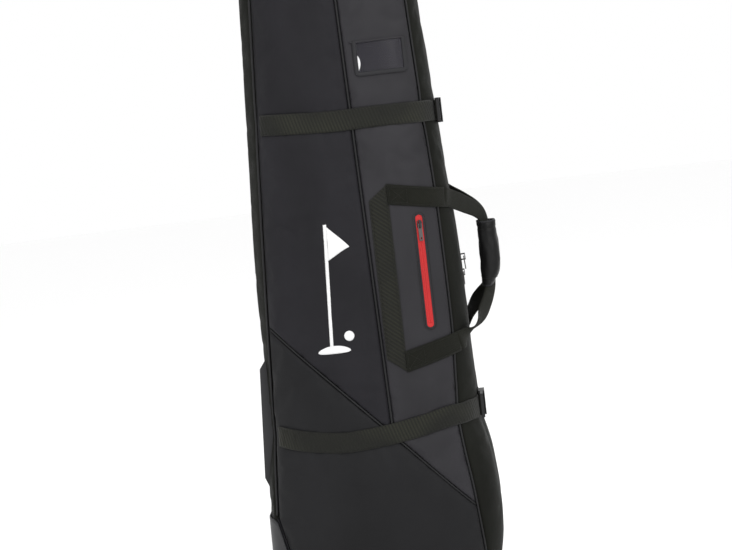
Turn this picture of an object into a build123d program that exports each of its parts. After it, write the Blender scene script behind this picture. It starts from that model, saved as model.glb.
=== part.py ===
from build123d import *

import math
import os

# Wheeled golf travel case, standing upright.
#
# Frame: millimetres, +Z up, origin on the floor under the middle of the base.
# -X is the spine, which carries the wheels and skid rails.  +X is the zip side, with the
# carry handle.  -Y is the front face.  The front face, with half of the zip side, is a flap
# that swings open about the seam between it and the spine.

# ---------------------------------------------------------------- driving dimensions
CASE_TOP = 1310.0            # height of the hood without its handle
# The corner of each cross-section: how far it reaches in X and Y, its roundness, its facets.
# One corner shape serves every height, so that all the faces between them are flat.
CORNER_X, CORNER_Y, CORNER_POWER, CORNER_STEPS = 106.0, 80.0, 2.5, 7
# height, half width (X), half depth (Y) of the padded body
STATIONS = [
    (8, 168, 120), (20, 178, 129), (70, 198, 139), (120, 207, 144), (165, 209, 146),
    (240, 204, 143), (340, 188, 136), (600, 184.5, 129.5), (860, 169.5, 123),
    (1100, 156, 113), (1200, 151, 109),
]
DOME_STEPS = [0.28, 0.5, 0.68, 0.82, 0.92, 1.0]    # shares of the dome's height
DOME_POWER, DOME_REACH = 3.0, 0.94

FABRIC = 5.0                 # padded fabric wall
GAP = 0.6                    # each panel stops this far from its seam line
FAR = 400.0                  # half size of cutting prisms

HOOD_Z = 1165.0              # seam under the hood
SKIRT_Z = 63.0               # lower edge of the flap, just above the tray's lip
TRAY_LIP_Z = 58.0
TRAY_FLOOR_Z = 8.0
TRAY_WALL = 3.5
ZIP_SLOT = 8.0               # half width of the slot between the two halves of the zip side

WEBBING, WEB_THICK = 37.0, 2.0
WEB_LOW, WEB_HIGH = 2.8, 4.8        # webbing layer above the fabric
PIPE_LOW, PIPE_HIGH, PIPE_WIDE = 0.3, 2.5, 4.0

WHEEL_X, WHEEL_Z, WHEEL_Y = -186.0, 42.0, 98.0
WHEEL_R, WHEEL_WIDE, HUB_R, BEARING_R, AXLE_R = 39.0, 24.0, 27.0, 11.0, 4.0
HOUSING_R, HOUSING_HALF = 50.0, 22.0

SLIDER_Z = 600.0             # the two main sliders meet here
SLIDER_APART = 14.0
SLIDER_LONG = 18.0
PIN_HEIGHT = 1.7             # the puller's cross-pin above its slider's plate

GRIP_X, GRIP_Z, GRIP_LONG = 236.0, 616.0, 118.0
LEG_TOP_Z, LEG_LOW_Z = 728.0, 480.0


# ---------------------------------------------------------------- shape of the body
def stations():
    """Every cross-section as (height, half width, half depth, size of the corners)."""
    z0, a0, b0 = STATIONS[-1]
    out = [(z, a, b, 1.0) for z, a, b in STATIONS]
    for share in DOME_STEPS:
        scale = (1 - (share * DOME_REACH) ** DOME_POWER) ** (1 / DOME_POWER)
        out.append((z0 + share * (CASE_TOP - z0), a0 * scale, b0 * scale, scale))
    return out


def section_sizes(z):
    """Half width, half depth and corner scale of the body at height z."""
    rows = stations()
    for low, high in zip(rows, rows[1:]):
        if low[0] <= z <= high[0]:
            t = (z - low[0]) / (high[0] - low[0])
            return [p + t * (q - p) for p, q in zip(low[1:], high[1:])]
    raise ValueError(f"no body at height {z}")


def half_sizes(z):
    return section_sizes(z)[:2]


def corner():
    """Points of one corner, from the middle of the front round to the side."""
    points = []
    for i in range(CORNER_STEPS + 1):
        t = math.pi / 2 * i / CORNER_STEPS
        points.append((CORNER_X * math.sin(t) ** (2 / CORNER_POWER),
                       CORNER_Y * max(math.cos(t), 0.0) ** (2 / CORNER_POWER)))
    points[-1] = (CORNER_X, 0.0)
    return points


def outline(z, grow):
    """The corners of the cross-section at height z, grown outwards by grow."""
    a, b, scale = section_sizes(z)
    flat_x, flat_y = a - CORNER_X * scale + grow, b - CORNER_Y * scale + grow
    quarter = [(flat_x + u * scale, flat_y + v * scale) for u, v in corner()]
    ring = [(x, -y) for x, y in quarter] + [(x, y) for x, y in quarter[::-1]]
    ring += [(-x, y) for x, y in quarter] + [(-x, -y) for x, y in quarter[::-1]]
    return [Vector(x, y, z) for x, y in ring]


def walls(rings):
    faces = []
    for lower, upper in zip(rings, rings[1:]):
        for i in range(len(lower)):
            j = (i + 1) % len(lower)
            quad = [lower[i], lower[j], upper[j], upper[i]]
            faces.append(Face(Wire.make_polygon(quad, close=True)))
    return faces


def levels(low, high):
    return sorted({low, high} | {row[0] for row in stations() if low < row[0] < high})


def body(grow=0.0, low=8.0, high=CASE_TOP):
    """The solid body, grown outwards by grow, between two heights."""
    rings = [outline(z, grow) for z in levels(low, high)]
    caps = [Face(Wire.make_polygon(ring, close=True)) for ring in (rings[0], rings[-1])]
    return Solid(Shell(walls(rings) + caps))


def layer(low, high, z_low=20.0, z_high=CASE_TOP):
    """The skin between two offsets of the body surface, open at both ends."""
    heights = levels(z_low, z_high)
    outer = [outline(z, high) for z in heights]
    inner = [outline(z, low) for z in heights]
    caps = []
    for end in (0, -1):
        hole = Wire.make_polygon(inner[end], close=True)
        caps.append(Face(Wire.make_polygon(outer[end], close=True), [hole]))
    return Solid(Shell(walls(outer) + walls(inner) + caps))


def front_y(x, z, grow=0.0):
    """Y of the front surface at (x, z)."""
    ring = outline(z, grow)[:CORNER_STEPS + 1]
    x = abs(x)
    if x <= ring[0].X:
        return ring[0].Y
    for p, q in zip(ring, ring[1:]):
        if p.X <= x <= q.X:
            return p.Y + (q.Y - p.Y) * (x - p.X) / (q.X - p.X)
    raise ValueError(f"no front surface at {x}")


def spine_seam(z):
    return -(133.0 + (1114.0 - z) * 0.063)


ZIP_SEAM = [(176, 0), (175, 60), (166, 200), (152, 340), (158, 520), (156, 700),
            (147, 906), (140, 1081), (134, 1310)]


def zip_seam(z):
    for (x0, z0), (x1, z1) in zip(ZIP_SEAM, ZIP_SEAM[1:]):
        if z0 <= z <= z1:
            return x0 + (x1 - x0) * (z - z0) / (z1 - z0)
    raise ValueError(f"no seam at height {z}")


CENTRE_LINE = [(34.0, 320.0), (15.0, 1310.0)]
DIAGONAL = [(-166.0, 533.0), (166.0, 183.0)]


def centre_seam(z):
    (x0, z0), (x1, z1) = CENTRE_LINE
    return x0 + (x1 - x0) * (z - z0) / (z1 - z0)


def diagonal_seam(x):
    (x0, z0), (x1, z1) = DIAGONAL
    return z0 + (z1 - z0) * (x - x0) / (x1 - x0)


# ---------------------------------------------------------------- cutting prisms
def prism_y(points, y_low=-FAR, y_high=FAR):
    """A polygon of (x, z) points carried along Y."""
    wire = Wire.make_polygon([Vector(x, y_low, z) for x, z in points], close=True)
    return Solid.extrude(Face(wire), Vector(0, y_high - y_low, 0))


def block(x0, x1, y0, y1, z0, z1):
    return Pos((x0 + x1) / 2, (y0 + y1) / 2, (z0 + z1) / 2) * Box(x1 - x0, y1 - y0, z1 - z0)


def rod_y(x, z, radius, y0, y1):
    return Pos(x, (y0 + y1) / 2, z) * Rot(90, 0, 0) * Cylinder(radius, y1 - y0)


def band(path, wide):
    """A polygon around a polyline of (x, z) points, square at its ends, mitred between."""
    left, right = [], []
    for i, (x, z) in enumerate(path):
        before = path[max(i - 1, 0)]
        after = path[min(i + 1, len(path) - 1)]
        d0 = Vector(x - before[0], 0, z - before[1])
        d1 = Vector(after[0] - x, 0, after[1] - z)
        d0 = (d0 if d0.length else d1).normalized()
        d1 = (d1 if d1.length else d0).normalized()
        mid = (d0 + d1).normalized()
        reach = wide / 2 / max(mid.dot(d0), 0.3)
        left.append((x - mid.Z * reach, z + mid.X * reach))
        right.append((x + mid.Z * reach, z - mid.X * reach))
    return left + right[::-1]


def seam_points(seam, low, high, shift):
    """Points down a seam from high to low, moved sideways by shift."""
    bends = [z for _, z in ZIP_SEAM if low + 1 < z < high - 1]
    return [(seam(z) + shift, z) for z in sorted([low, high] + bends, reverse=True)]


def save(name, *solids):
    """Writes one node, made of one or more separate solids."""
    found = [s for shape in solids for s in shape.solids()]
    export_step(Compound(children=found) if len(found) > 1 else found[0], f"parts/{name}.step")
    print(name, len(found), round(sum(s.volume for s in found) / 1000, 1), "cm3")


# ---------------------------------------------------------------- guard, housings
# outline, in front view, of the tray: a low lip with a wing that climbs the spine side
WING_TOP_Z = 188.0
TRAY_TRIM = [(-FAR, -5), (-FAR, WING_TOP_Z), (-199, WING_TOP_Z), (-194, WING_TOP_Z - 6),
             (-178, 118), (-144, TRAY_LIP_Z), (FAR, TRAY_LIP_Z), (FAR, -5)]
# what the flap leaves out at its lower corner, so that it clears the wing
WING_CLEAR = [(-FAR, 0), (-FAR, WING_TOP_Z + 7), (-195, WING_TOP_Z + 7), (-188.5, WING_TOP_Z - 4),
              (-172.5, 118), (-138, SKIRT_Z), (-138, 0)]


def housing_space(side, radius=HOUSING_R, half=HOUSING_HALF):
    y = side * WHEEL_Y
    return rod_y(WHEEL_X, WHEEL_Z, radius, y - half, y + half)


def both_housings(extra=0.4):
    """What the tray and fabric leave out round each housing and the ends of its axle."""
    spaces = [housing_space(side, HOUSING_R + extra, HOUSING_HALF + extra) for side in (-1, 1)]
    return spaces + [housing_space(side, 11, HOUSING_HALF + 10) for side in (-1, 1)]


def cut_all(shape, tools):
    for tool in tools:
        shape = shape - tool
    return shape


# ---------------------------------------------------------------- fabric panels
def fabric_panels():
    skin = layer(-FABRIC, 0)
    front = block(-FAR, FAR, -FAR, 0, 0, 1400)
    below_hood = block(-FAR, FAR, -FAR, FAR, SKIRT_Z + 1, HOOD_Z)
    wall = skin & below_hood

    spine = prism_y([(-FAR, 0), (-FAR, 1400)] + seam_points(spine_seam, 0, 1310, -GAP))
    save("spine_panel", cut_all(wall & spine, both_housings()))

    between = prism_y(seam_points(spine_seam, 0, 1300, GAP)
                      + seam_points(zip_seam, 0, 1300, -GAP)[::-1], 0, FAR)
    save("rear_panel", cut_all(wall & between, both_housings()))

    beyond = seam_points(zip_seam, 0, 1300, GAP) + [(FAR, 0), (FAR, 1300)]
    save("rear_gusset", wall & prism_y(beyond, ZIP_SLOT, FAR))
    save("front_gusset", wall & prism_y(beyond, -FAR, -ZIP_SLOT))

    clear = prism_y(WING_CLEAR)
    flap = (wall & front) - clear
    low_z, high_z = SKIRT_Z, HOOD_Z
    above, x_left, x_right = GAP * 1.5, spine_seam(539) + GAP, zip_seam(182) - GAP
    logo = (seam_points(centre_seam, 322 + above, high_z, -GAP)
            + [(x_left, diagonal_seam(x_left) + above)]
            + [(spine_seam(high_z) + GAP, high_z)])
    save("logo_panel", flap & prism_y(logo))
    zip_low = diagonal_seam(x_right) + above
    pocket = (seam_points(centre_seam, 322 + above, high_z, GAP)
              + seam_points(zip_seam, zip_low, high_z, -GAP)[::-1])
    save("pocket_panel", flap & prism_y(pocket))
    zip_top = diagonal_seam(x_right) - above
    lower = ([(x_left, diagonal_seam(x_left) - above)]
             + seam_points(zip_seam, low_z, zip_top, -GAP)
             + [(spine_seam(low_z) + GAP, low_z)])
    save("lower_panel", flap & prism_y(lower))

    hood = body(0, HOOD_Z + 2.6, CASE_TOP) - body(-FABRIC, HOOD_Z + 2.6, CASE_TOP - FABRIC)
    save("hood_shell", hood)
    pad = body(-5.6, 1190, CASE_TOP - 5.6) - body(-13, 1190, CASE_TOP - 14)
    save("hood_pad", pad)

    tub = body(0, 20, SKIRT_Z - 1) - body(-FABRIC, 20 + FABRIC, SKIRT_Z - 1)
    corner = (skin & prism_y([(-FAR, SKIRT_Z - 1), (-FAR, WING_TOP_Z + 4), (-198, WING_TOP_Z + 4),
                              (-192.5, WING_TOP_Z - 5), (-176.5, 118), (-142, SKIRT_Z - 1)], -FAR, 0)
              ) & prism_y([(x + 2 * GAP, z) for x, z in seam_points(spine_seam, 0, 1300, 0)]
                          + [(FAR, 0), (FAR, 1300)])
    save("bottom_panel", cut_all((tub + corner).solids()[0] if len((tub + corner).solids()) == 1
                                 else Compound(children=(tub + corner).solids()), both_housings()))
    save("floor_pad", cut_all(body(-FABRIC - 1.5, 25.6, 36), both_housings(1.5)))
    board = layer(-9, -5.6, 100, 1150) & block(-FAR, 0, -70, 70, 100, 1150)
    save("stiffener_board", board)


# ---------------------------------------------------------------- piping
def piping():
    skin = layer(PIPE_LOW, PIPE_HIGH)
    rear_zip = prism_y(band(seam_points(zip_seam, 80, 1158, 0), PIPE_WIDE), 20, FAR)
    spine_low = WING_TOP_Z + 8
    spine_both = prism_y(band(seam_points(spine_seam, spine_low, 1158, -2.4), PIPE_WIDE - 0.6))
    save("rear_piping", skin & spine_both, skin & rear_zip)
    centre = prism_y(band(seam_points(centre_seam, 330, 1158, 0), PIPE_WIDE), -FAR, 0)
    (x0, z0), (x1, z1) = DIAGONAL
    ends = [(x0 + 6, diagonal_seam(x0 + 6)), (x1 - 8, diagonal_seam(x1 - 8))]
    diagonal = prism_y(band(ends, PIPE_WIDE), -FAR, 0)
    seam = prism_y(band(seam_points(zip_seam, 80, 1158, 0), PIPE_WIDE), -FAR, -20)
    save("front_piping", (skin & centre) - diagonal, skin & diagonal, skin & seam)


# ---------------------------------------------------------------- compression straps
# centre line of each strap in front view, from the spine seam to the zip side
UPPER_STRAP = [(-139, 893), (-70, 889), (0, 886), (70, 887), (140, 886), (FAR, 885)]
LOWER_STRAP = [(-172, 338), (-110, 326), (-50, 319), (10, 323), (80, 334), (150, 347),
               (FAR, 349)]
BUCKLE_FRONT, BUCKLE_MOUTH, BUCKLE_REAR = -76.0, -46.0, -10.0
BUCKLE_WIDE = 44.0
PRONG_IN, PRONG_THICK = 16.0, 3.0


def strap(path):
    """Webbing across the front, round the corner to the buckle."""
    left = path[0][0]
    return (layer(WEB_LOW, WEB_HIGH, 250, 1000)
            & prism_y(band(path, WEBBING), -FAR, BUCKLE_FRONT + 12)
            & block(left, FAR, -FAR, 0, 0, 1400))


def buckle(z):
    """Plug and socket of a side-release buckle that lies along Y, with its outer face at +X."""
    a, _ = half_sizes(z)
    base = a + 2.6
    half = BUCKLE_WIDE / 2
    # plug: a ladder of three bars that the webbing threads, and two prongs
    rail = 4.0
    body_low, body_high = base + 2.6, base + 8.0
    frame = block(body_low, body_high, BUCKLE_FRONT, BUCKLE_MOUTH - 0.6, z - half, z + half)
    slots = [block(body_low - 1, body_high + 1, y, y + 6.0, z - half + rail, z + half - rail)
             for y in (BUCKLE_FRONT + 4, BUCKLE_FRONT + 14)]
    plug = cut_all(frame, slots)
    for side in (-1, 1):
        mid = z + side * 13.0
        plug = plug + block(base + 2.8, base + 2.8 + PRONG_THICK, BUCKLE_MOUTH - 2,
                            BUCKLE_MOUTH + PRONG_IN, mid - 3.5, mid + 3.5)
    # socket: a flat box whose mouth faces the plug, and a bar for its own webbing tab
    socket = block(base, base + 11.0, BUCKLE_MOUTH, BUCKLE_REAR, z - half, z + half)
    socket = socket - block(base + 2.2, base + 9.2, BUCKLE_MOUTH - 1,
                            BUCKLE_MOUTH + PRONG_IN + 3, z - half + 3, z + half - 3)
    socket = socket - block(base - 1, base + 12, BUCKLE_REAR - 11, BUCKLE_REAR - 4,
                            z - half + rail, z + half - rail)
    return plug, socket


def straps_and_buckles():
    tabs = []
    for name, path, z in (("upper", UPPER_STRAP, 885.0), ("lower", LOWER_STRAP, 349.0)):
        plug, socket = buckle(z)
        save(f"{name}_strap", strap(path) - plug)
        save(f"{name}_buckle_plug", plug)
        save(f"{name}_buckle_socket", socket)
        tab = (layer(0.5, 2.3, 250, 1000)
               & block(0, FAR, BUCKLE_REAR + 1, 62, z - WEBBING / 2, z + WEBBING / 2))
        tabs.append(tab)
    save("socket_tabs", *tabs)


# ---------------------------------------------------------------- carry handle
FRAME_LEFT = 55.0            # centre of the upright band of the sewn webbing frame


def handle_webbing(side):
    """The sewn frame on one broad face and the free loop that leaves it at the zip side."""
    path = [(172, 721), (FRAME_LEFT + 8, 748), (FRAME_LEFT, 738), (FRAME_LEFT, 462),
            (FRAME_LEFT + 8, 452), (172, 481)]
    cut = block(0, 172, -FAR, 0, 0, 1400) if side < 0 else block(0, 172, 0, FAR, 0, 1400)
    sewn = layer(WEB_LOW, WEB_HIGH, 400, 800) & prism_y(frame_outline()) & cut
    # the free loop lies in a plane through its two sewn ends and the grip
    start = Vector(170.5, side * 89.0, LEG_TOP_Z)
    low_end = Vector(176.0, side * 102.0, LEG_LOW_Z)
    grip = Vector(GRIP_X, side * 16.0, GRIP_Z)
    up = (start - low_end).normalized()
    level = start + (low_end - start) * ((LEG_TOP_Z - GRIP_Z) / (LEG_TOP_Z - LEG_LOW_Z))
    along = (grip - level).normalized()
    normal = along.cross(up).normalized()
    along = up.cross(normal).normalized()
    reach = (grip - level).dot(along)
    plane = Plane(origin=tuple(level - up * GRIP_Z), x_dir=along, z_dir=normal)
    mid = GRIP_Z
    half = GRIP_LONG / 2 + 8
    route = [(0, LEG_TOP_Z), (reach * 0.5, LEG_TOP_Z - 10), (reach * 0.9, LEG_TOP_Z - 34),
             (reach, mid + half - 8), (reach, mid - half + 8), (reach * 0.9, LEG_LOW_Z + 38),
             (reach * 0.5, LEG_LOW_Z + 10), (0, LEG_LOW_Z + 2)]
    wide = [34, 33, 28, 24, 24, 28, 33, 34]
    left, right = [], []
    for i, (s, z) in enumerate(route):
        p0, p1 = route[max(i - 1, 0)], route[min(i + 1, len(route) - 1)]
        d = Vector(p1[0] - p0[0], p1[1] - p0[1], 0).normalized()
        left.append((s + d.Y * wide[i] / 2, z - d.X * wide[i] / 2))
        right.append((s - d.Y * wide[i] / 2, z + d.X * wide[i] / 2))
    corners = [plane.from_local_coords(Vector(s, z, -WEB_THICK / 2))
               for s, z in left + right[::-1]]
    loop = Solid.extrude(Face(Wire.make_polygon(corners, close=True)), plane.z_dir * WEB_THICK)
    return sewn - loop, loop


def frame_outline():
    """Front-view outline of the sewn frame: two legs that close up towards the zip side."""
    left, inner = 37.0, 71.5
    return [(180, 746), (73, 768), (left, 740), (left, 460), (73, 430), (180, 461), (180, 497),
            (inner, 470), (inner, 731), (180, 710)]


def grip_half(side):
    """Half of the padded wrap, a channel round one loop; the halves meet near Y = 7."""
    low, high = GRIP_Z - GRIP_LONG / 2, GRIP_Z + GRIP_LONG / 2
    split = 7.0
    x0, x1 = GRIP_X - 17, GRIP_X + 17
    outer = block(x0, x1, -36, 36, low, high)
    outer = fillet(outer.edges().filter_by(Axis.Z), 11)
    inner = block(x0 + 4, x1 - 4, -32, 32, low - 1, high + 1)
    inner = fillet(inner.edges().filter_by(Axis.Z), 7)
    wrap = outer - inner
    if side < 0:
        return wrap & block(0, FAR, -FAR, split - 0.8, 0, 1400)
    return wrap & block(0, FAR, split + 0.8, FAR, 0, 1400)


def carry_handle():
    for side, name in ((-1, "front"), (1, "rear")):
        sewn, loop = handle_webbing(side)
        save(f"{name}_handle_webbing", sewn, loop)
        save(f"{name}_grip_half", grip_half(side))


# ---------------------------------------------------------------- main zip
COIL_IN, COIL_OUT = 1.2, 4.2


def main_zip():
    tape = layer(-6.9, -5.4, 40, 1185)
    coil = layer(-5.3, -2.6, 84, 1146)
    for name, side in (("main_zip_fixed_tape", 1), ("main_zip_flap_tape", -1)):
        def strip(inner, outer, low, high):
            y = sorted((side * inner, side * outer))
            return block(0, FAR, *y, low, high)
        upright = tape & strip(COIL_IN, 22, 84, 1146)
        teeth = coil & strip(COIL_IN, COIL_OUT, 84, 1146)
        levels = ((1168, 1180), (46, 60)) if side > 0 else ((1149, 1163), (65, 80))
        runs = []
        for low, high in levels:
            zone = prism_y([(spine_seam(low) + 12, low), (spine_seam(low) + 12, high),
                            (FAR, high), (FAR, low)], -FAR, -9)
            if low < 100:
                zone = zone - prism_y([(-FAR, 0), (-FAR, 100), (-128, 100), (-128, 0)])
            runs.append(tape & zone)
        save(name, upright, teeth, *runs)


def slider_plane(z, tilt_to):
    """A plane on the zip line at height z: x towards the rear, y up the line, z outwards."""
    a0, a1 = half_sizes(z)[0], half_sizes(tilt_to)[0]
    up = Vector(a1 - a0, 0, tilt_to - z).normalized()
    if up.Z < 0:
        up = -up
    rear = Vector(0, 1, 0)
    return Plane(origin=(a0, 0, z), x_dir=rear, z_dir=rear.cross(up))


def slider_and_puller(plane, mouth, half=5.5, plate=(-1.0, 0.8), long=SLIDER_LONG, post=True,
                      tab=23.0, tall=0.0):
    """A zip slider with its crown, and a puller that hangs on a cross-pin under the crown."""
    low, high = plate

    def local(x0, x1, y0, y1, z0, z1):
        return plane * block(x0, x1, y0, y1, z0, z1)

    slider = local(-half + 1.5, half - 1.5, -long / 2, long / 2, low, high)
    slider = slider + local(-half, half, -long / 2 + 2, long / 2 - 2, low, high)
    if post:
        y = mouth * (long / 2 - 3)
        slider = slider + local(-0.6, 0.6, y - 2, y + 2, low - 3.6, low)
    for y in (-5.0, 5.0):
        slider = slider + local(-1.2, 1.2, y - 1.2, y + 1.2, high, high + 3.2 + tall)
    slider = slider + local(-1.2, 1.2, -6.2, 6.2, high + 3.2 + tall, high + 4.6 + tall)
    z0, z1 = high + PIN_HEIGHT - 1 + tall, high + PIN_HEIGHT + 1 + tall
    puller = local(-3.4, 3.4, -0.9, 0.9, z0, z1)
    for x0 in (-3.4, 2.0):
        puller = puller + local(x0, x0 + 1.4, -8, 0.9, z0, z1)
    puller = puller + local(-3.4, 3.4, -tab, -7.4, z0, z1)
    return slider, puller - local(-1.2, 1.2, -tab + 2, -tab + 6, z0 - 1, z1 + 1)


def main_sliders():
    for name, z, to, mouth, tall in (("upper", SLIDER_Z + SLIDER_APART, 860, 1, 5.0),
                                     ("lower", SLIDER_Z - SLIDER_APART, 340, -1, 0.0)):
        slider, puller = slider_and_puller(slider_plane(z, to), mouth, tall=tall)
        save(f"{name}_slider", slider)
        save(f"{name}_puller", puller)


# ---------------------------------------------------------------- pocket, window, emblem
POCKET_ZIP_X, POCKET_ZIP_LOW, POCKET_ZIP_HIGH, POCKET_ZIP_WIDE = 120.5, 507.0, 707.0, 15.0
POCKET_SLIDER_Z = 690.0
WINDOW = (39.0, 131.0, 958.0, 1020.0)
WINDOW_RIM = 6.5


def front_plane(x, z, z_to):
    """A plane on the front face at (x, z): x along the face to the right, y up, z outwards."""
    here = Vector(x, front_y(x, z), z)
    right = (Vector(x + 3, front_y(x + 3, z), z) - Vector(x - 3, front_y(x - 3, z), z)).normalized()
    up = (Vector(x, front_y(x, z_to), z_to) - here).normalized()
    if up.Z < 0:
        up = -up
    return Plane(origin=tuple(here), x_dir=right, z_dir=right.cross(up))


def pocket():
    half = POCKET_ZIP_WIDE / 2
    tape = layer(0.5, 2.0, 500, 715) & block(POCKET_ZIP_X - half, POCKET_ZIP_X + half, -FAR, 0,
                                             POCKET_ZIP_LOW, POCKET_ZIP_HIGH)
    save("pocket_zip", tape)
    pouch = layer(-8.6, -5.3, 430, 720) & block(76, 147, -FAR, 0, 450, 712)
    pouch = pouch - (layer(-7.6, -6.3, 430, 720) & block(80, 143, -FAR, 0, 456, 720))
    save("pocket_pouch", pouch)
    plane = front_plane(POCKET_ZIP_X, POCKET_SLIDER_Z, 530)
    slider, puller = slider_and_puller(plane, 1, half=4.6, plate=(2.9, 4.4), long=15.0,
                                       post=False, tab=29.0)
    save("pocket_slider", slider)
    save("pocket_puller", puller)


def id_window():
    x0, x1, z0, z1 = WINDOW
    rim = WINDOW_RIM
    def patch(low, high, inset):
        return layer(low, high, 940, 1030) & block(x0 + inset, x1 - inset, -FAR, 0,
                                                   z0 + inset, z1 - inset)
    save("id_card", patch(0.4, 0.8, 4))
    save("id_window_film", patch(1.0, 1.3, 2))
    save("id_window_frame", patch(1.5, 3.0, 0) - patch(1.0, 3.5, rim))


def emblem():
    """A plain embroidered flag on a pole, standing beside a ball."""
    skin = layer(0.4, 1.6, 480, 720)
    shapes = [
        [(-60, 492), (-54, 492), (-42, 708), (-48, 708)],
        [(-42.5, 704), (-45.8, 644), (-6, 664)],
    ]
    pieces = [skin & prism_y(points, -FAR, 0) for points in shapes]
    mound = prism_y([(-82 + 29 * (1 + math.cos(t)), 486 + 7 * math.sin(t))
                     for t in [2 * math.pi * i / 28 for i in range(28)]], -FAR, 0)
    ball = prism_y([(-24 + 9 * math.cos(t), 508 + 9 * math.sin(t))
                    for t in [2 * math.pi * i / 24 for i in range(24)]], -FAR, 0)
    save("emblem", (pieces[0] - mound - prism_y(shapes[1], -FAR, 0)), pieces[1], skin & mound,
         skin & ball)


# ---------------------------------------------------------------- base and wheels
def base_tray():
    outer = body(TRAY_WALL + 0.5, TRAY_FLOOR_Z, WING_TOP_Z)
    inner = body(0.5, TRAY_FLOOR_Z + 5, WING_TOP_Z)
    tray = (outer - inner) & prism_y(TRAY_TRIM)
    save("base_tray", cut_all(tray, both_housings()))
    skids = []
    for y in (-WHEEL_Y + 12, 0, WHEEL_Y - 12):
        skid = block(-112, 150, y - 11, y + 11, 0, TRAY_FLOOR_Z)
        skids.append(chamfer(skid.edges().filter_by(Axis.Y).group_by(Axis.Z)[0], 4))
    save("base_skids", *skids)


def wheel(side):
    y = side * WHEEL_Y
    half = WHEEL_WIDE / 2
    tyre = rod_y(WHEEL_X, WHEEL_Z, WHEEL_R, y - half, y + half)
    tyre = fillet(tyre.edges().filter_by(GeomType.CIRCLE), 9)
    tyre = tyre - rod_y(WHEEL_X, WHEEL_Z, HUB_R, y - half - 1, y + half + 1)
    hub = rod_y(WHEEL_X, WHEEL_Z, HUB_R - 0.02, y - half + 2, y + half - 2)
    for face in (-1, 1):
        dish = rod_y(WHEEL_X, WHEEL_Z, HUB_R - 4, *sorted((y + face * 5, y + face * half)))
        hub = hub - (dish - rod_y(WHEEL_X, WHEEL_Z, BEARING_R + 3, y - half, y + half))
    for i in range(5):
        angle = 2 * math.pi * i / 5
        hub = hub - rod_y(WHEEL_X + 18.5 * math.cos(angle), WHEEL_Z + 18.5 * math.sin(angle),
                          3.6, y - half, y + half)
    bearings = []
    for face in (-1, 1):
        y0, y1 = sorted((y + face * 3, y + face * 10))
        ring = rod_y(WHEEL_X, WHEEL_Z, BEARING_R, y0, y1)
        bearings.append(ring - rod_y(WHEEL_X, WHEEL_Z, AXLE_R + 0.06, y0 - 1, y1 + 1))
        hub = hub - rod_y(WHEEL_X, WHEEL_Z, BEARING_R + 0.02, *sorted((y + face * 3, y + face * 13)))
    hub = hub - rod_y(WHEEL_X, WHEEL_Z, AXLE_R + 1.5, y - half, y + half)
    return tyre, hub, bearings


def wheel_housing(side):
    """An arched fender with two cheeks that hold the axle, open towards the floor corner."""
    y = side * WHEEL_Y
    wall = 3.5
    shell = housing_space(side)
    shell = shell - rod_y(WHEEL_X, WHEEL_Z, HOUSING_R - wall, y - HOUSING_HALF + wall,
                          y + HOUSING_HALF - wall)
    corner = Plane(origin=(WHEEL_X - 10, 0, WHEEL_Z - 10), x_dir=(0, 1, 0), z_dir=(-1, 0, -1))
    shell = shell - corner * (Pos(0, 0, 100) * Box(600, 600, 200))
    shell = shell & block(-FAR, FAR, -FAR, FAR, TRAY_FLOOR_Z, 200)
    for face in (-1, 1):
        y0, y1 = sorted((y + face * (HOUSING_HALF - wall - 4), y + face * (HOUSING_HALF - wall)))
        shell = shell + rod_y(WHEEL_X, WHEEL_Z, 10, y0, y1)
    return shell - rod_y(WHEEL_X, WHEEL_Z, AXLE_R + 0.05, y - 40, y + 40)


def wheels():
    bolts, nuts = [], []
    for side, name in ((-1, "front"), (1, "rear")):
        tyre, hub, bearings = wheel(side)
        save(f"{name}_wheel_tyre", tyre)
        save(f"{name}_wheel_hub", hub)
        save(f"{name}_wheel_bearings", *bearings)
        save(f"{name}_wheel_housing", wheel_housing(side))
        y = side * WHEEL_Y
        out = side * (HOUSING_HALF + 0.2)
        shaft = rod_y(WHEEL_X, WHEEL_Z, AXLE_R, y - HOUSING_HALF - 8, y + HOUSING_HALF + 0.5)
        if side < 0:
            shaft = rod_y(WHEEL_X, WHEEL_Z, AXLE_R, y - HOUSING_HALF - 0.5, y + HOUSING_HALF + 8)
        head = rod_y(WHEEL_X, WHEEL_Z, 7.5, *sorted((y + out, y + out + side * 3.5)))
        bolts.append(shaft + head)
        y0, y1 = sorted((y - out, y - out - side * 6.5))
        nut = Pos(WHEEL_X, (y0 + y1) / 2, WHEEL_Z) * Rot(90, 0, 0) * extrude(
            RegularPolygon(7.5, 6), 3.25, both=True)
        nuts.append(nut - rod_y(WHEEL_X, WHEEL_Z, AXLE_R + 0.01, y0 - 1, y1 + 1))
    save("axle_bolts", *bolts)
    save("axle_nuts", *nuts)


RAIL_Y, RAIL_WIDE = 58.0, 30.0
RAIL_OUTLINE = [(-150, 478.5), (-182.5, 478.5), (-198, 457), (-212.5, 257.5), (-202.5, 231.5),
                (-150, 231.5)]


def spine_rails():
    inside = body(0.4, 150, 500)
    rails, screws = [], []
    for side in (-1, 1):
        y = side * RAIL_Y
        rail = prism_y(RAIL_OUTLINE, y - RAIL_WIDE / 2, y + RAIL_WIDE / 2) - inside
        for z in (282, 432):
            face_x = -198 - (457 - z) * 14.5 / 199.5
            hole = Pos(face_x, y, z) * Rot(0, 90, 0) * Cylinder(6.0, 8)
            rail = rail - hole
            head = Pos(face_x + 3.0, y, z) * Rot(0, 90, 0) * Cylinder(5.2, 1.8)
            screws.append(head)
        rails.append(rail)
    save("spine_rails", *rails)
    save("rail_screws", *screws)


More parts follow.
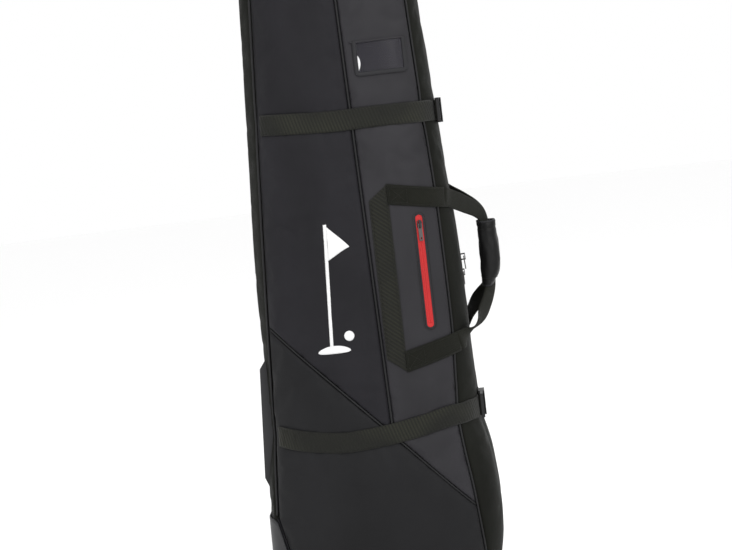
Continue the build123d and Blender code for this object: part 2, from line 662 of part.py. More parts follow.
# ---------------------------------------------------------------- small handles, inner straps
def loop_outline(half, rise, thick, wide_y, centre_z, foot):
    """A closed arch in X and Z, carried along Y."""
    outer = [(-half - foot, 0), (-half, 0.6), (-half * 0.82, rise * 0.72), (-half * 0.5, rise),
             (half * 0.5, rise), (half * 0.82, rise * 0.72), (half, 0.6), (half + foot, 0)]
    upper = [(x, centre_z + z + thick) for x, z in outer]
    lower = [(x, centre_z + z) for x, z in outer]
    return prism_y(upper + lower[::-1], -wide_y / 2, wide_y / 2)


def small_handles():
    top = CASE_TOP + 0.4
    strap_piece = loop_outline(64, 30, 2.4, 30, top, 14)
    grip = block(-30, 30, -18, 18, top + 24.5, top + 40)
    grip = fillet(grip.edges().filter_by(Axis.X), 6.5)
    grip = grip - block(-35, 35, -15.4, 15.4, top + 29.8, top + 32.8)
    save("top_handle_strap", strap_piece)
    save("top_handle_grip", grip)
    # foot handle: an arch across the tray's zip-side wall
    z = 33.0
    a, _ = half_sizes(z)
    wall_x = a + TRAY_WALL + 0.9
    points = [(-70, 0), (-54, 0.6), (-44, 20), (-26, 27), (26, 27), (44, 20), (54, 0.6), (70, 0)]
    outer = [Vector(wall_x + x + 2.4, y, z - 12) for y, x in points]
    inner = [Vector(wall_x + x, y, z - 12) for y, x in points]
    arch = Solid.extrude(Face(Wire.make_polygon(outer + inner[::-1], close=True)), Vector(0, 0, 24))
    save("foot_handle", arch - body(TRAY_WALL + 0.9, 12, 55))


def inner_straps():
    bands, clips = [], []
    for z in (449, 839):
        bands.append(layer(-11.6, -9.4, 400, 900) & block(-FAR, 0, -84, 84, z - 19, z + 19))
        a, _ = half_sizes(z)
        x = -a + 13.2
        clip = block(x, x + 8, -31, 31, z - 24, z + 24)
        clip = chamfer(clip.edges().filter_by(Axis.X), 4)
        clips.append(clip - block(x - 1, x + 9, 18, 25, z - 19, z + 19)
                     - block(x - 1, x + 9, -25, -18, z - 19, z + 19))
    save("inner_straps", *bands)
    save("inner_buckles", *clips)


def main():
    os.makedirs("parts", exist_ok=True)
    fabric_panels()
    piping()
    straps_and_buckles()
    carry_handle()
    main_zip()
    main_sliders()
    pocket()
    id_window()
    emblem()
    base_tray()
    wheels()
    spine_rails()
    small_handles()
    inner_straps()


main()
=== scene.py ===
"""Looks of the wheeled golf travel case: fabric shell, webbing, zips and mouldings.

Lengths are millimetres along the frame's axes, and make() turns them into metres. z is up, -y is
the broad front and +x the zip side.
"""
import math

import bmesh
import bpy
import numpy as np
from mathutils import Matrix, Vector, noise


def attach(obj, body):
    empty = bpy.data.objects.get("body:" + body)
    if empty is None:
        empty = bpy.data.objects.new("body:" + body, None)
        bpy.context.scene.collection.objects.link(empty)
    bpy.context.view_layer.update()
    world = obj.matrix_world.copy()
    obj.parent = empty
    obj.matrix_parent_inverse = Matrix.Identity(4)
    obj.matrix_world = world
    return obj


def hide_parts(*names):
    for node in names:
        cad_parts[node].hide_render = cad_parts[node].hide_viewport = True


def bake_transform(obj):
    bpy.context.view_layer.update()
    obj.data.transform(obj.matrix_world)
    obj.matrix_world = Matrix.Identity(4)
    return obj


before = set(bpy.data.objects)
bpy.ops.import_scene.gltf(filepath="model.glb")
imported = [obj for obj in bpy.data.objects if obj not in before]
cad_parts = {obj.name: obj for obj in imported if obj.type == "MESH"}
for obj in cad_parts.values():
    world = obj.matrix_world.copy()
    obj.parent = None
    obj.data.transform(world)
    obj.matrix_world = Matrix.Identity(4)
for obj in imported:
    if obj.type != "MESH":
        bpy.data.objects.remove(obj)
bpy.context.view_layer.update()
MM = 0.001
MIRROR = np.array([1, -1, 1])
LEVEL = np.array([1, 1, 0])

# ---------------------------------------------------------------- shape of the body
STATIONS = np.array([
    (8, 168, 120), (20, 178, 129), (70, 198, 139), (120, 207, 144), (165, 209, 146),
    (240, 204, 143), (340, 188, 136), (600, 184.5, 129.5), (860, 169.5, 123),
    (1100, 156, 113), (1200, 151, 109)], float)
CASE_TOP, DOME_LOW = 1310.0, 1200.0
CORNER_X, CORNER_Y, CORNER_POWER = 106.0, 80.0, 2.5
DOME_POWER, DOME_REACH = 3.0, 0.94
HOOD_Z, SKIRT_Z, LIP_Z, WING_Z = 1165.0, 63.0, 58.0, 188.0
CROWN_SEAM_Z = 1262.0
SEAM_GAP, SPINE_SLOPE = 0.9, 0.063
HOUSING_X, HOUSING_Y, HOUSING_Z = -186.0, 98.0, 42.0
GRIP_X, GRIP_Z = 236.0, 616.0
HALF_WEBBING = 0.0185
EDGE_ROUND, CLOTH_FRAMES = 10.0, 16
BEAD_SIDES = 6
BEAD_TURN = 2 * math.pi * np.arange(BEAD_SIDES)[:, None] / BEAD_SIDES
ZIP_OUT = np.array([1.0, 0, 0.05])
ZIP_SEAM = np.array([(0, 176), (60, 175), (200, 166), (340, 152), (520, 158), (700, 156),
                     (906, 147), (1081, 140), (1310, 134)], float)
UPPER_STRAP = np.array([(-139, 893), (-70, 889), (0, 886), (70, 887), (140, 886), (400, 885)], float)
LOWER_STRAP = np.array([(-172, 338), (-110, 326), (-50, 319), (10, 323), (80, 334), (150, 347),
                        (400, 349)], float)

_turn = np.linspace(0, math.pi / 2, 121)
CORNER_XS = CORNER_X * np.sin(_turn) ** (2 / CORNER_POWER)
CORNER_YS = CORNER_Y * np.clip(np.cos(_turn), 0, 1) ** (2 / CORNER_POWER)
CORNER_RUN = np.concatenate([[0], np.cumsum(np.hypot(np.diff(CORNER_XS), np.diff(CORNER_YS)))])
CORNER_LONG = CORNER_RUN[-1]


def smooth_interp(x, xs, ys):
    """Monotone cubic interpolation."""
    h = np.diff(xs)
    d = np.diff(ys) / h
    m = np.zeros(len(xs))
    m[1:-1] = np.where(d[:-1] * d[1:] > 0, 2 * d[:-1] * d[1:] / (d[:-1] + d[1:] + 1e-12), 0)
    m[0], m[-1] = d[0], d[-1]
    i = np.clip(np.searchsorted(xs, x) - 1, 0, len(xs) - 2)
    t = (x - xs[i]) / h[i]
    return ((2 * t ** 3 - 3 * t ** 2 + 1) * ys[i] + (t ** 3 - 2 * t ** 2 + t) * h[i] * m[i]
            + (3 * t ** 2 - 2 * t ** 3) * ys[i + 1] + (t ** 3 - t ** 2) * h[i] * m[i + 1])


def sizes(z):
    """Half width, half depth and corner scale at heights z."""
    z = np.asarray(z, float)
    low = np.minimum(z, DOME_LOW)
    a = smooth_interp(low, STATIONS[:, 0], STATIONS[:, 1])
    b = smooth_interp(low, STATIONS[:, 0], STATIONS[:, 2])
    share = np.clip((z - DOME_LOW) / (CASE_TOP - DOME_LOW), 0, 1)
    s = (1 - (share * DOME_REACH) ** DOME_POWER) ** (1 / DOME_POWER)
    return a * s, b * s, s


def surf(z, q):
    """Points of the body surface. q runs round the case: 0 front, 1 zip side, 2 rear, -1 spine."""
    z, q = np.broadcast_arrays(np.asarray(z, float), np.asarray(q, float))
    a, b, s = sizes(z)
    q = (q + 2) % 4 - 2
    sign, rear = np.where(q < 0, -1.0, 1.0), np.abs(q) > 1
    r = np.where(rear, 2 - np.abs(q), np.abs(q))
    flat, side = a - CORNER_X * s, b - CORNER_Y * s
    long = r * (flat + CORNER_LONG * s + side)
    c = np.clip((long - flat) / s, 0, CORNER_LONG)
    x = np.where(long < flat, long, flat + s * np.interp(c, CORNER_RUN, CORNER_XS))
    rest = np.clip(long - flat - CORNER_LONG * s, 0, None)
    y = np.where(long < flat, b, side + s * np.interp(c, CORNER_RUN, CORNER_YS) - rest)
    return np.stack([sign * x, np.where(rear, y, -y), z], -1)


def q_at_x(z, x):
    """q of the front point with this x."""
    z, x = np.broadcast_arrays(np.asarray(z, float), np.asarray(x, float))
    a, b, s = sizes(z)
    flat, side = a - CORNER_X * s, b - CORNER_Y * s
    ax = np.clip(np.abs(x), 0, a - 0.01)
    long = np.where(ax < flat, ax, flat + s * np.interp((ax - flat) / s, CORNER_XS, CORNER_RUN))
    return np.sign(x) * long / (flat + CORNER_LONG * s + side)


def q_at_y(z, y):
    """q of the zip-side point with this negative y."""
    z, y = np.broadcast_arrays(np.asarray(z, float), np.asarray(y, float))
    a, b, s = sizes(z)
    flat, side = a - CORNER_X * s, b - CORNER_Y * s
    ay = np.abs(y)
    total = flat + CORNER_LONG * s + side
    corner = flat + s * np.interp((ay - side) / s, CORNER_YS[::-1], CORNER_RUN[::-1])
    return np.where(ay < side, total - ay, corner) / total


def spine_x(z):
    return -(133.0 + (1114.0 - np.asarray(z, float)) * SPINE_SLOPE)


def zip_x(z):
    return smooth_interp(np.asarray(z, float), ZIP_SEAM[:, 0], ZIP_SEAM[:, 1])


def centre_x(z):
    return 34.0 - 19.0 * (np.asarray(z, float) - 320) / 990


def diagonal_z(x):
    return 533.0 - 350.0 * (np.asarray(x, float) + 166) / 332


def strap_z(path, x):
    return smooth_interp(np.asarray(x, float), path[:, 0], path[:, 1])


def unit(v):
    """Vectors scaled to length 1."""
    return v / np.linalg.norm(v, axis=-1, keepdims=True)


def lengths(points):
    """Distance along a line from its first point to each point."""
    return np.concatenate([[0], np.cumsum(np.linalg.norm(np.diff(points, axis=0), axis=1))])


def sample(at, run, values):
    """The values of a line at distances at, where run holds the line's own lengths."""
    return np.stack([np.interp(at, run, values[:, k]) for k in range(values.shape[1])], -1)


def normals(p, wrap=False):
    """Outward unit normals of a grid of points."""
    du = (np.roll(p, -1, 1) - np.roll(p, 1, 1)) / 2 if wrap else np.gradient(p, axis=1)
    n = np.cross(du, np.gradient(p, axis=0))
    n /= np.linalg.norm(n, axis=-1, keepdims=True) + 1e-12
    return -n if (n * p * LEVEL).sum() < 0 else n


# ---------------------------------------------------------------- mesh helpers
def on_skin(z, q, off, wrap=False):
    """Points lifted by off from the body's surface, and the outward normals there."""
    base = surf(z, q)
    n = normals(base, wrap)
    return base + n * np.asarray(off, float)[..., None], n


def level_ring(z, count=200):
    """A level line round the body, and its outward directions."""
    ring = surf(np.full(count, z), np.linspace(-2, 2, count, endpoint=False))
    return ring, unit(ring * LEVEL)


def quads(rows, cols, wrap=False):
    """The faces of a grid of points, row by row."""
    return [(i * cols + j, i * cols + (j + 1) % cols, (i + 1) * cols + (j + 1) % cols,
             (i + 1) * cols + j) for i in range(rows - 1) for j in range(cols - (not wrap))]


def caps(rows, cols):
    """The two end faces of a stack of rings."""
    return [tuple(range(cols))[::-1], tuple(range((rows - 1) * cols, rows * cols))]


def make(name, verts, faces, mats, face_mat=None, uv=None):
    """A mesh object from points in millimetres; uv gives each point's place in millimetres."""
    mesh = bpy.data.meshes.new(name)
    mesh.from_pydata([tuple(v) for v in np.asarray(verts) * MM], [], faces)
    for m in mats:
        mesh.materials.append(m)
    if face_mat is not None:
        mesh.polygons.foreach_set("material_index", face_mat)
    if uv is not None:
        layer = mesh.uv_layers.new(name="UVMap")
        index = np.zeros(len(mesh.loops), np.int32)
        mesh.loops.foreach_get("vertex_index", index)
        layer.data.foreach_set("uv", (np.asarray(uv)[index] * MM).ravel().astype(np.float32))
    mesh.polygons.foreach_set("use_smooth", [True] * len(mesh.polygons))
    mesh.update()
    obj = bpy.data.objects.new(name, mesh)
    bpy.context.scene.collection.objects.link(obj)
    return obj


def clean(obj):
    """Turns the normals outwards and drops points without a face."""
    bm = bmesh.new()
    bm.from_mesh(obj.data)
    bmesh.ops.recalc_face_normals(bm, faces=bm.faces)
    bmesh.ops.delete(bm, geom=[v for v in bm.verts if not v.link_faces], context="VERTS")
    bm.to_mesh(obj.data)
    bm.free()
    return obj


def slab(name, p, n, thick, mats, wrap=False, uv=None, skip=None, body="case_body"):
    """A closed sheet: the grid p, its back at thick below it, and the rim between them."""
    rows, cols = p.shape[:2]
    count = rows * cols
    if uv is None:
        left, low = edge_runs(p)
        uv = np.stack([left - left[:, cols // 2:cols // 2 + 1], low], -1)
    front = quads(rows, cols, wrap)
    if skip is not None:
        gone = skip[:rows - 1, :cols - (not wrap)].ravel()
        front = [quad for quad, hole in zip(front, gone) if not hole]
    faces, rim = [], {}
    for quad in front:
        faces += [quad, tuple(v + count for v in quad[::-1])]
        for a, b in zip(quad, quad[1:] + quad[:1]):
            if rim.pop((b, a), None) is None:
                rim[a, b] = True
    faces += [(b, a, a + count, b + count) for a, b in rim]
    face_mat = [0, int(len(mats) > 1)] * len(front) + [0] * len(rim)
    verts = np.concatenate([p.reshape(-1, 3), (p - n * thick).reshape(-1, 3)])
    obj = clean(make(name, verts, faces, mats, face_mat, np.concatenate([uv.reshape(-1, 2)] * 2)))
    if body:
        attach(obj, body)
    return obj


def stack(name, rings, mats, uv, body):
    """A closed solid from rings of points, one above the other."""
    rows, cols = rings.shape[:2]
    obj = clean(make(name, rings.reshape(-1, 3), quads(rows, cols, True) + caps(rows, cols), mats,
                     uv=uv.reshape(-1, 2)))
    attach(obj, body)
    return obj


def tube(name, points, radius, mats, body, sides=10, closed=False):
    """A cord of round section along a polyline."""
    p = np.asarray(points, float)
    count = len(p)
    d = unit(np.roll(p, -1, 0) - np.roll(p, 1, 0) if closed else np.gradient(p, axis=0))
    ref = np.zeros_like(p)
    ref[0] = unit(np.cross(d[0], [0, 0, 1] if abs(d[0][2]) < 0.9 else [0, 1, 0]))
    for i in range(1, count):
        ref[i] = unit(ref[i - 1] - d[i] * np.dot(ref[i - 1], d[i]))
    ang = np.linspace(0, 2 * math.pi, sides, endpoint=False)
    ring = p[:, None] + radius * (np.cos(ang)[:, None] * ref[:, None]
                                  + np.sin(ang)[:, None] * np.cross(d, ref)[:, None])
    uv = np.stack([np.repeat(lengths(p), sides), np.tile(ang * radius, count)], -1)
    if not closed:
        return stack(name, ring, mats, uv, body)
    faces = [tuple(v % (count * sides) for v in quad) for quad in quads(count + 1, sides, True)]
    obj = clean(make(name, ring.reshape(-1, 3), faces, mats, uv=uv))
    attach(obj, body)
    return obj


def join(name, objs):
    """Several meshes on one body as one object."""
    bpy.ops.object.select_all(action="DESELECT")
    for o in objs:
        o.select_set(True)
    bpy.context.view_layer.objects.active = objs[0]
    bpy.ops.object.join()
    objs[0].name = name
    objs[0].data.name = name
    return objs[0]


def even(points, count):
    """The same line with evenly spaced points."""
    run = lengths(points)
    return sample(np.linspace(0, run[-1], count), run, points)


def spline(points, count):
    """A smooth (Catmull-Rom) line through points, with evenly spaced points of its own."""
    p = np.asarray(points, float)
    ext = np.vstack([2 * p[0] - p[1], p, 2 * p[-1] - p[-2]])
    t = np.linspace(0, 1, 24, endpoint=False)[:, None]
    spans = [0.5 * (2 * p1 + (p2 - p0) * t + (2 * p0 - 5 * p1 + 4 * p2 - p3) * t * t
                    + (3 * p1 - p0 - 3 * p2 + p3) * t ** 3)
             for p0, p1, p2, p3 in zip(ext, ext[1:], ext[2:], ext[3:])]
    return even(np.vstack(spans + [p[-1]]), count)


# ---------------------------------------------------------------- materials
def material(name, color, rough, build=None, metallic=0.0, sheen=0.0, alpha=1.0, spec=0.5):
    mat = bpy.data.materials.new(name)
    mat.use_nodes = True
    shader = mat.node_tree.nodes["Principled BSDF"]
    for socket, value in {"Base Color": (*color, 1), "Roughness": rough, "Metallic": metallic,
                          "Specular IOR Level": spec, "Sheen Weight": sheen, "Alpha": alpha}.items():
        shader.inputs[socket].default_value = value
    if build:
        build(Nodes(mat.node_tree, shader), color, rough)
    return mat


class Nodes:
    """Short names for the nodes that the materials share."""

    def __init__(self, tree, shader):
        self.tree, self.shader = tree, shader

    def put(self, value, socket):
        """Links value to the socket if it is a socket too, or else sets it."""
        if isinstance(value, bpy.types.NodeSocket):
            self.tree.links.new(value, socket)
        else:
            socket.default_value = value

    def node(self, kind, **inputs):
        n = self.tree.nodes.new("ShaderNode" + kind)
        for key, value in inputs.items():
            self.put(value, n.inputs[key])
        return n

    def math(self, op, *values):
        n = self.node("Math")
        n.operation = op
        for value, socket in zip(values, n.inputs):
            self.put(value, socket)
        return n.outputs[0]

    def mad(self, value, factor, plus):
        """value times factor, plus the last."""
        return self.math("MULTIPLY_ADD", value, factor, plus)

    def uv(self):
        return self.node("SeparateXYZ", Vector=self.node("UVMap").outputs[0]).outputs[:2]

    def place(self):
        return self.node("TexCoord").outputs["Object"]

    def grain(self, scale, detail=3.0, rough=0.5, at=None):
        return self.node("TexNoise", Scale=scale, Detail=detail, Roughness=rough,
                         Vector=at or self.place()).outputs["Fac"]

    def clamp(self, value):
        return self.node("Clamp", Value=value).outputs[0]

    def wave(self, coordinate, pitch, phase=0.0):
        """A sine from 0 to 1 along a coordinate in metres."""
        return self.mad(self.math("SINE", self.mad(coordinate, 2 * math.pi / pitch, phase)), 0.5, 0.5)

    def relief(self, height, strength, distance, bevel=None):
        """Bump on the shader's normal, over softened edges where bevel gives their radius."""
        n = self.node("Bump", Strength=strength, Distance=distance, Height=height)
        if bevel:
            self.put(self.node("Bevel", Radius=bevel).outputs[0], n.inputs["Normal"])
        self.put(n.outputs[0], self.shader.inputs["Normal"])

    def roughness(self, fac, amount, least):
        self.put(self.mad(fac, amount, least), self.shader.inputs["Roughness"])

    def tint(self, fac, color, low, high):
        """The base colour, between low and high times color."""
        n = self.node("Mix")
        n.data_type = "RGBA"
        self.put(fac, n.inputs["Factor"])
        n.inputs["A"].default_value = (*(min(1.0, c * low) for c in color), 1)
        n.inputs["B"].default_value = (*(min(1.0, c * high) for c in color), 1)
        self.put(n.outputs["Result"], self.shader.inputs["Base Color"])


def build_weave(pitch=0.0011, strength=0.35, spread=0.28):
    """Plain-woven cloth: threads over and under; the base colour carries a painted sheen in upright
    streaks and painted shade between the threads.
    """
    def run(g, color, rough):
        u, v = g.uv()
        over = g.math("MULTIPLY", g.wave(u, pitch), g.wave(v, pitch))
        under = g.math("MULTIPLY", g.wave(u, pitch, math.pi), g.wave(v, pitch, math.pi))
        cloth = g.math("ADD", over, under)
        g.relief(g.mad(g.grain(260.0, 2.0), 0.35, cloth), strength, 0.0004)
        # painted sheen: lighter streaks, stretched up the case, stand in for reflections on the glossy
        # cloth; the cloth term paints shade between the threads
        drawn = g.node("VectorMath", Vector=g.place())
        drawn.operation = "MULTIPLY"
        drawn.inputs[1].default_value = (1.0, 1.0, 0.42)
        sheen = g.clamp(g.mad(g.grain(11.0, 2.0, 0.45, drawn.outputs[0]), 2.4, -0.7))
        g.tint(g.mad(sheen, 0.75, g.math("MULTIPLY", cloth, 0.25)), color, 1 - spread, 1 + spread)
        g.roughness(g.grain(40.0, 3.0), 0.16, rough - 0.08)
    return run


def build_twill(pitch=0.0032, strength=0.8, slant=1.0, contrast=0.42, patchy=False):
    """Webbing: diagonal ribs that run along the band, with a plain selvedge at each edge."""
    def run(g, color, rough):
        u, v = g.uv()
        rib = g.wave(g.math("ADD", u, g.math("MULTIPLY", v, slant)), pitch)
        ribs = g.mad(g.wave(g.math("SUBTRACT", u, v), pitch * 0.31), 0.35, rib)
        side = g.math("GREATER_THAN", g.math("ABSOLUTE", v), HALF_WEBBING - 0.0022)
        selvedge = g.math("MULTIPLY", side, g.wave(u, 0.0012))
        ribs = g.math("MULTIPLY", ribs, g.math("SUBTRACT", 1.0, side))
        g.relief(g.math("MAXIMUM", ribs, selvedge), strength, 0.0007)
        # painted shade: the base colour follows the ribs, darker in the grooves between them, scaled by
        # patches or noise
        patch = g.clamp(g.mad(g.grain(9.0, 1.0), 7.0, -3.2)) if patchy else g.grain(22.0, 3.0)
        g.tint(g.mad(g.grain(30.0, 3.0), 0.35, g.math("MULTIPLY", rib, patch)), color,
               1 - contrast, 1 + contrast)
    return run


def build_moulded(scale=900.0, strength=0.12, bevel=0.0012):
    """Moulded plastic: fine spark texture, softened edges and faint scuffs."""
    def run(g, color, rough):
        g.relief(g.grain(scale, 2.0, 0.7), strength, 0.0003, bevel)
        worn = g.grain(18.0, 5.0, 0.65)
        g.tint(worn, color, 0.85, 1.2)
        g.roughness(worn, 0.2, rough - 0.1)
    return run


def build_metal():
    def run(g, color, rough):
        g.relief(g.grain(400.0, 2.0), 0.05, 0.0002, 0.0004)
        g.tint(g.grain(60.0, 4.0), color, 0.8, 1.2)
        g.roughness(g.grain(90.0, 3.0), 0.2, rough - 0.1)
    return run


def build_satin():
    """Satin stitches laid side by side across the shape."""
    def run(g, color, rough):
        u, v = g.uv()
        thread = g.wave(u, 0.0009)
        split = g.wave(g.math("ADD", v, g.math("MULTIPLY", u, 0.4)), 0.006)
        g.relief(g.mad(split, 0.2, thread), 0.8, 0.0004)
        # painted shade: the base colour is darker between the threads
        g.tint(thread, color, 0.82, 1.0)
    return run


def build_stitch():
    """Two-ply thread."""
    def run(g, color, rough):
        u, v = g.uv()
        ply = g.wave(g.math("ADD", u, g.math("MULTIPLY", v, 1.5)), 0.0011)
        g.relief(ply, 0.6, 0.0003)
        # painted shade: the base colour is darker in the groove between the plies
        g.tint(ply, color, 0.6, 1.2)
    return run


def build_grain(scale=500.0, strength=0.3, distance=0.0004, spread=0.2):
    """A plain fine grain."""
    def run(g, color, rough):
        g.relief(g.grain(scale, 4.0, 0.6), strength, distance)
        g.tint(g.grain(25.0, 4.0), color, 1 - spread, 1 + spread)
        g.roughness(g.grain(70.0, 3.0), 0.15, rough - 0.07)
    return run


FABRIC = material("shell_fabric_dark", (0.0079, 0.0075, 0.0094), 0.6, build_weave(), sheen=0.03,
                  spec=0.12)
# painted light: the same cloth as shell_fabric_dark, made lighter for the pocket panel, which faces the
# light
FABRIC_PAINTED_LIT = material("shell_fabric_painted_lit", (0.0141, 0.0135, 0.0157), 0.55, build_weave(), sheen=0.03,
                    spec=0.16)
FABRIC_LOW = material("shell_fabric_low", (0.0062, 0.0062, 0.0069), 0.58, build_weave(), sheen=0.03,
                      spec=0.12)
FABRIC_SIDE = material("shell_fabric_side", (0.0054, 0.0057, 0.0044), 0.65, build_weave(),
                       sheen=0.02, spec=0.06)
LINING = material("lining_fabric", (0.035, 0.035, 0.038), 0.85, build_grain(900, 0.4), sheen=0.1,
                  spec=0.2)
PIPING = material("piping_cloth", (0.0079, 0.0079, 0.0084), 0.5, build_weave(0.0009, 0.3),
                  spec=0.18)
WEBBING = material("webbing", (0.0051, 0.0054, 0.0030), 0.7, build_twill(), sheen=0.03, spec=0.12)
WEBBING_BOLD = material("webbing_bold", (0.0048, 0.0050, 0.0023), 0.7,
                        build_twill(0.0076, 1.0, slant=0.80, contrast=0.8), sheen=0.05, spec=0.2)
WEBBING_STRAP = material("webbing_strap", (0.0062, 0.0065, 0.0036), 0.7,
                         build_twill(0.0058, 0.9, slant=0.30, contrast=0.7, patchy=True),
                         sheen=0.05, spec=0.2)
STITCH = material("stitching", (0.0145, 0.0145, 0.0119), 0.6, build_stitch(), spec=0.2)
GRIP = material("grip_wrap", (0.0029, 0.0029, 0.0030), 0.42, build_weave(0.0014, 0.3), sheen=0.02,
                spec=0.14)
BINDING = material("binding_tape", (0.0110, 0.0110, 0.0125), 0.6, build_weave(0.0008, 0.4), spec=0.2)
PLASTIC = material("buckle_plastic", (0.007, 0.007, 0.0075), 0.42, build_moulded(1500, 0.05, 0.0009),
                   spec=0.25)
BASE = material("base_plastic", (0.0179, 0.0179, 0.0195), 0.5, build_moulded(700, 0.18, 0.0015),
                spec=0.25)
BASE_DARK = material("housing_plastic", (0.016, 0.016, 0.0175), 0.45,
                     build_moulded(700, 0.15, 0.0012), spec=0.4)
ZIP_TAPE = material("zip_tape", (0.011, 0.011, 0.012), 0.75, build_weave(0.0008, 0.5), spec=0.2)
COIL = material("zip_coil", (0.010, 0.010, 0.011), 0.35, build_grain(1200, 0.1))
RED_TAPE = material("red_zip_tape", (0.3520, 0.0104, 0.0109), 0.55, build_weave(0.0008, 0.4), sheen=0.03,
                    spec=0.25)
METAL = material("slider_metal", (0.012, 0.012, 0.013), 0.4, build_metal(), metallic=0.1, spec=0.3)
PULLER = material("puller_rubber", (0.034, 0.031, 0.030), 0.5, build_grain(800, 0.15))
FILM = material("window_vinyl", (0.040, 0.038, 0.046), 0.30, build_grain(14, 0.10, 0.0006),
                alpha=0.10, spec=0.12)
CARD = material("address_card", (0.0094, 0.0088, 0.0122), 0.6, build_grain(500, 0.1), spec=0.2)
# painted reflection: the near-white crescent inside the address window
WINDOW_PAINTED_GLINT = material("window_painted_glint", (0.80, 0.80, 0.80), 0.7, build_grain(700, 0.1, 0.0002, 0.05))
THREAD = material("embroidery", (0.7200, 0.7200, 0.7200), 0.45, build_satin(), sheen=0.1)
STEEL = material("plain_steel", (0.50, 0.50, 0.51), 0.32, build_metal(), metallic=1.0)
HUB = material("hub_plastic", (0.08, 0.08, 0.085), 0.45, build_moulded(900, 0.1, 0.0008))
TYRE = material("tyre_rubber", (0.012, 0.012, 0.012), 0.6, build_grain(600, 0.25))
FOAM_BOARD = material("spine_board", (0.04, 0.04, 0.042), 0.7, build_grain(300, 0.2))


# ---------------------------------------------------------------- padded fabric panels
def strap_dip(p, path, deep, wide):
    """How far a strap presses the padding in, at points on the front and zip side."""
    x = np.where(p[..., 0] > 150, 150, p[..., 0])
    z = strap_z(path, np.clip(x, path[0, 0], 150))
    near = np.clip((p[..., 0] - path[0, 0] + 30) / 40, 0, 1) * (p[..., 1] < -25)
    return deep * near * np.exp(-((p[..., 2] - z) / wide) ** 2)


def gathers(p, path, size):
    """Small upright folds that fan out above and below a tight strap."""
    x = np.clip(p[..., 0], path[0, 0], 150)
    d = p[..., 2] - strap_z(path, x)
    away = np.abs(d)
    grow = np.clip((away - 16) / 10, 0, 1) * np.exp(-((away - 16) / 46) ** 2)
    bend = x + 5.0 * np.sin(p[..., 2] / 23.0) + d * 0.10 * np.sign(x + 60)
    fold = np.sin(bend / 5.4) * 0.55 + np.sin(bend / 9.1 + 1.7) * 0.75
    part = 0.55 + 0.45 * np.sin(x / 31.0 + 0.6)
    return size * grow * fold * part * (p[..., 1] < -25)


def edge_runs(p):
    """Distances over a grid of points from its left edge and from its low edge."""
    across = np.linalg.norm(np.diff(p, axis=1), axis=-1)
    up = np.linalg.norm(np.diff(p, axis=0), axis=-1)
    return (np.concatenate([np.zeros((p.shape[0], 1)), np.cumsum(across, 1)], 1),
            np.concatenate([np.zeros((1, p.shape[1])), np.cumsum(up, 0)], 0))


def edge_distance(p):
    """Distance over a grid of points to its nearest edge."""
    left, low = edge_runs(p)
    return np.minimum(np.minimum(left, left[:, -1:] - left), np.minimum(low, low[-1:] - low))


def wrinkles(p, size, seed, stretch=(1, 1, 0.45)):
    """Soft folds, longer up the case than round it."""
    at = p.reshape(-1, 3) * stretch / 55 + np.array([seed, 0, 0])
    values = [noise.fractal(Vector(v), 0.75, 2.1, 3) for v in at]
    return np.array(values).reshape(p.shape[:2]) * size


# what is sewn on to the broad faces, as low x, high x, low z, high z
SEWN_FRONT = [(34, 182, 426, 772), (34, 136, 952, 1024), (-86, 0, 474, 714)]
SEWN_REAR = [(34, 182, 426, 772)]


def slack(p):
    """1 where the cloth is free to puff, 0 where something is sewn on to it."""
    out = np.ones(p.shape[:2])
    front = np.median(p[..., 1]) < 0
    for x0, x1, z0, z1 in SEWN_FRONT if front else SEWN_REAR:
        dx = np.maximum(np.maximum(x0 - p[..., 0], p[..., 0] - x1), 0)
        dz = np.maximum(np.maximum(z0 - p[..., 2], p[..., 2] - z1), 0)
        t = np.clip(np.hypot(dx, dz) / 22, 0, 1)
        out = np.minimum(out, t * t * (3 - 2 * t))
    return out


def relax(name, p, n, pinned, pressure, cap):
    """Cloth under pressure from inside, held where pinned; returns the settled grid."""
    faces = quads(*p.shape[:2])
    obj = make(name, p.reshape(-1, 3), faces, [])
    middle = len(faces) // 2
    flip = obj.data.polygons[middle].normal @ Vector(n.reshape(-1, 3)[faces[middle][0]]) < 0
    group = obj.vertex_groups.new(name="pin")
    group.add(np.nonzero(pinned.ravel())[0].tolist(), 1.0, "REPLACE")
    mod = obj.modifiers.new("cloth", "CLOTH")
    s = mod.settings
    s.quality = 5
    s.mass = 0.25
    s.tension_stiffness = s.compression_stiffness = 30
    s.shear_stiffness = 15
    s.bending_stiffness = 2.0
    s.tension_damping = s.compression_damping = 15
    s.air_damping = 3
    s.vertex_group_mass = "pin"
    s.shrink_min = -0.012
    s.use_pressure = True
    s.uniform_pressure_force = -pressure if flip else pressure
    s.effector_weights.gravity = 0
    mod.collision_settings.use_collision = False
    mod.point_cache.frame_start, mod.point_cache.frame_end = 1, CLOTH_FRAMES
    for f in range(1, CLOTH_FRAMES + 1):
        bpy.context.scene.frame_set(f)
    mesh = obj.evaluated_get(bpy.context.evaluated_depsgraph_get()).to_mesh()
    out = np.zeros(len(mesh.vertices) * 3)
    mesh.vertices.foreach_get("co", out)
    bpy.data.objects.remove(obj)
    bpy.context.scene.frame_set(1)
    move = out.reshape(p.shape) / MM - p
    rise = (move * n).sum(-1, keepdims=True)
    soft = cap * np.tanh(rise / cap)
    return p + (n * soft + (move - n * rise) * 0.3) * slack(p)[..., None]


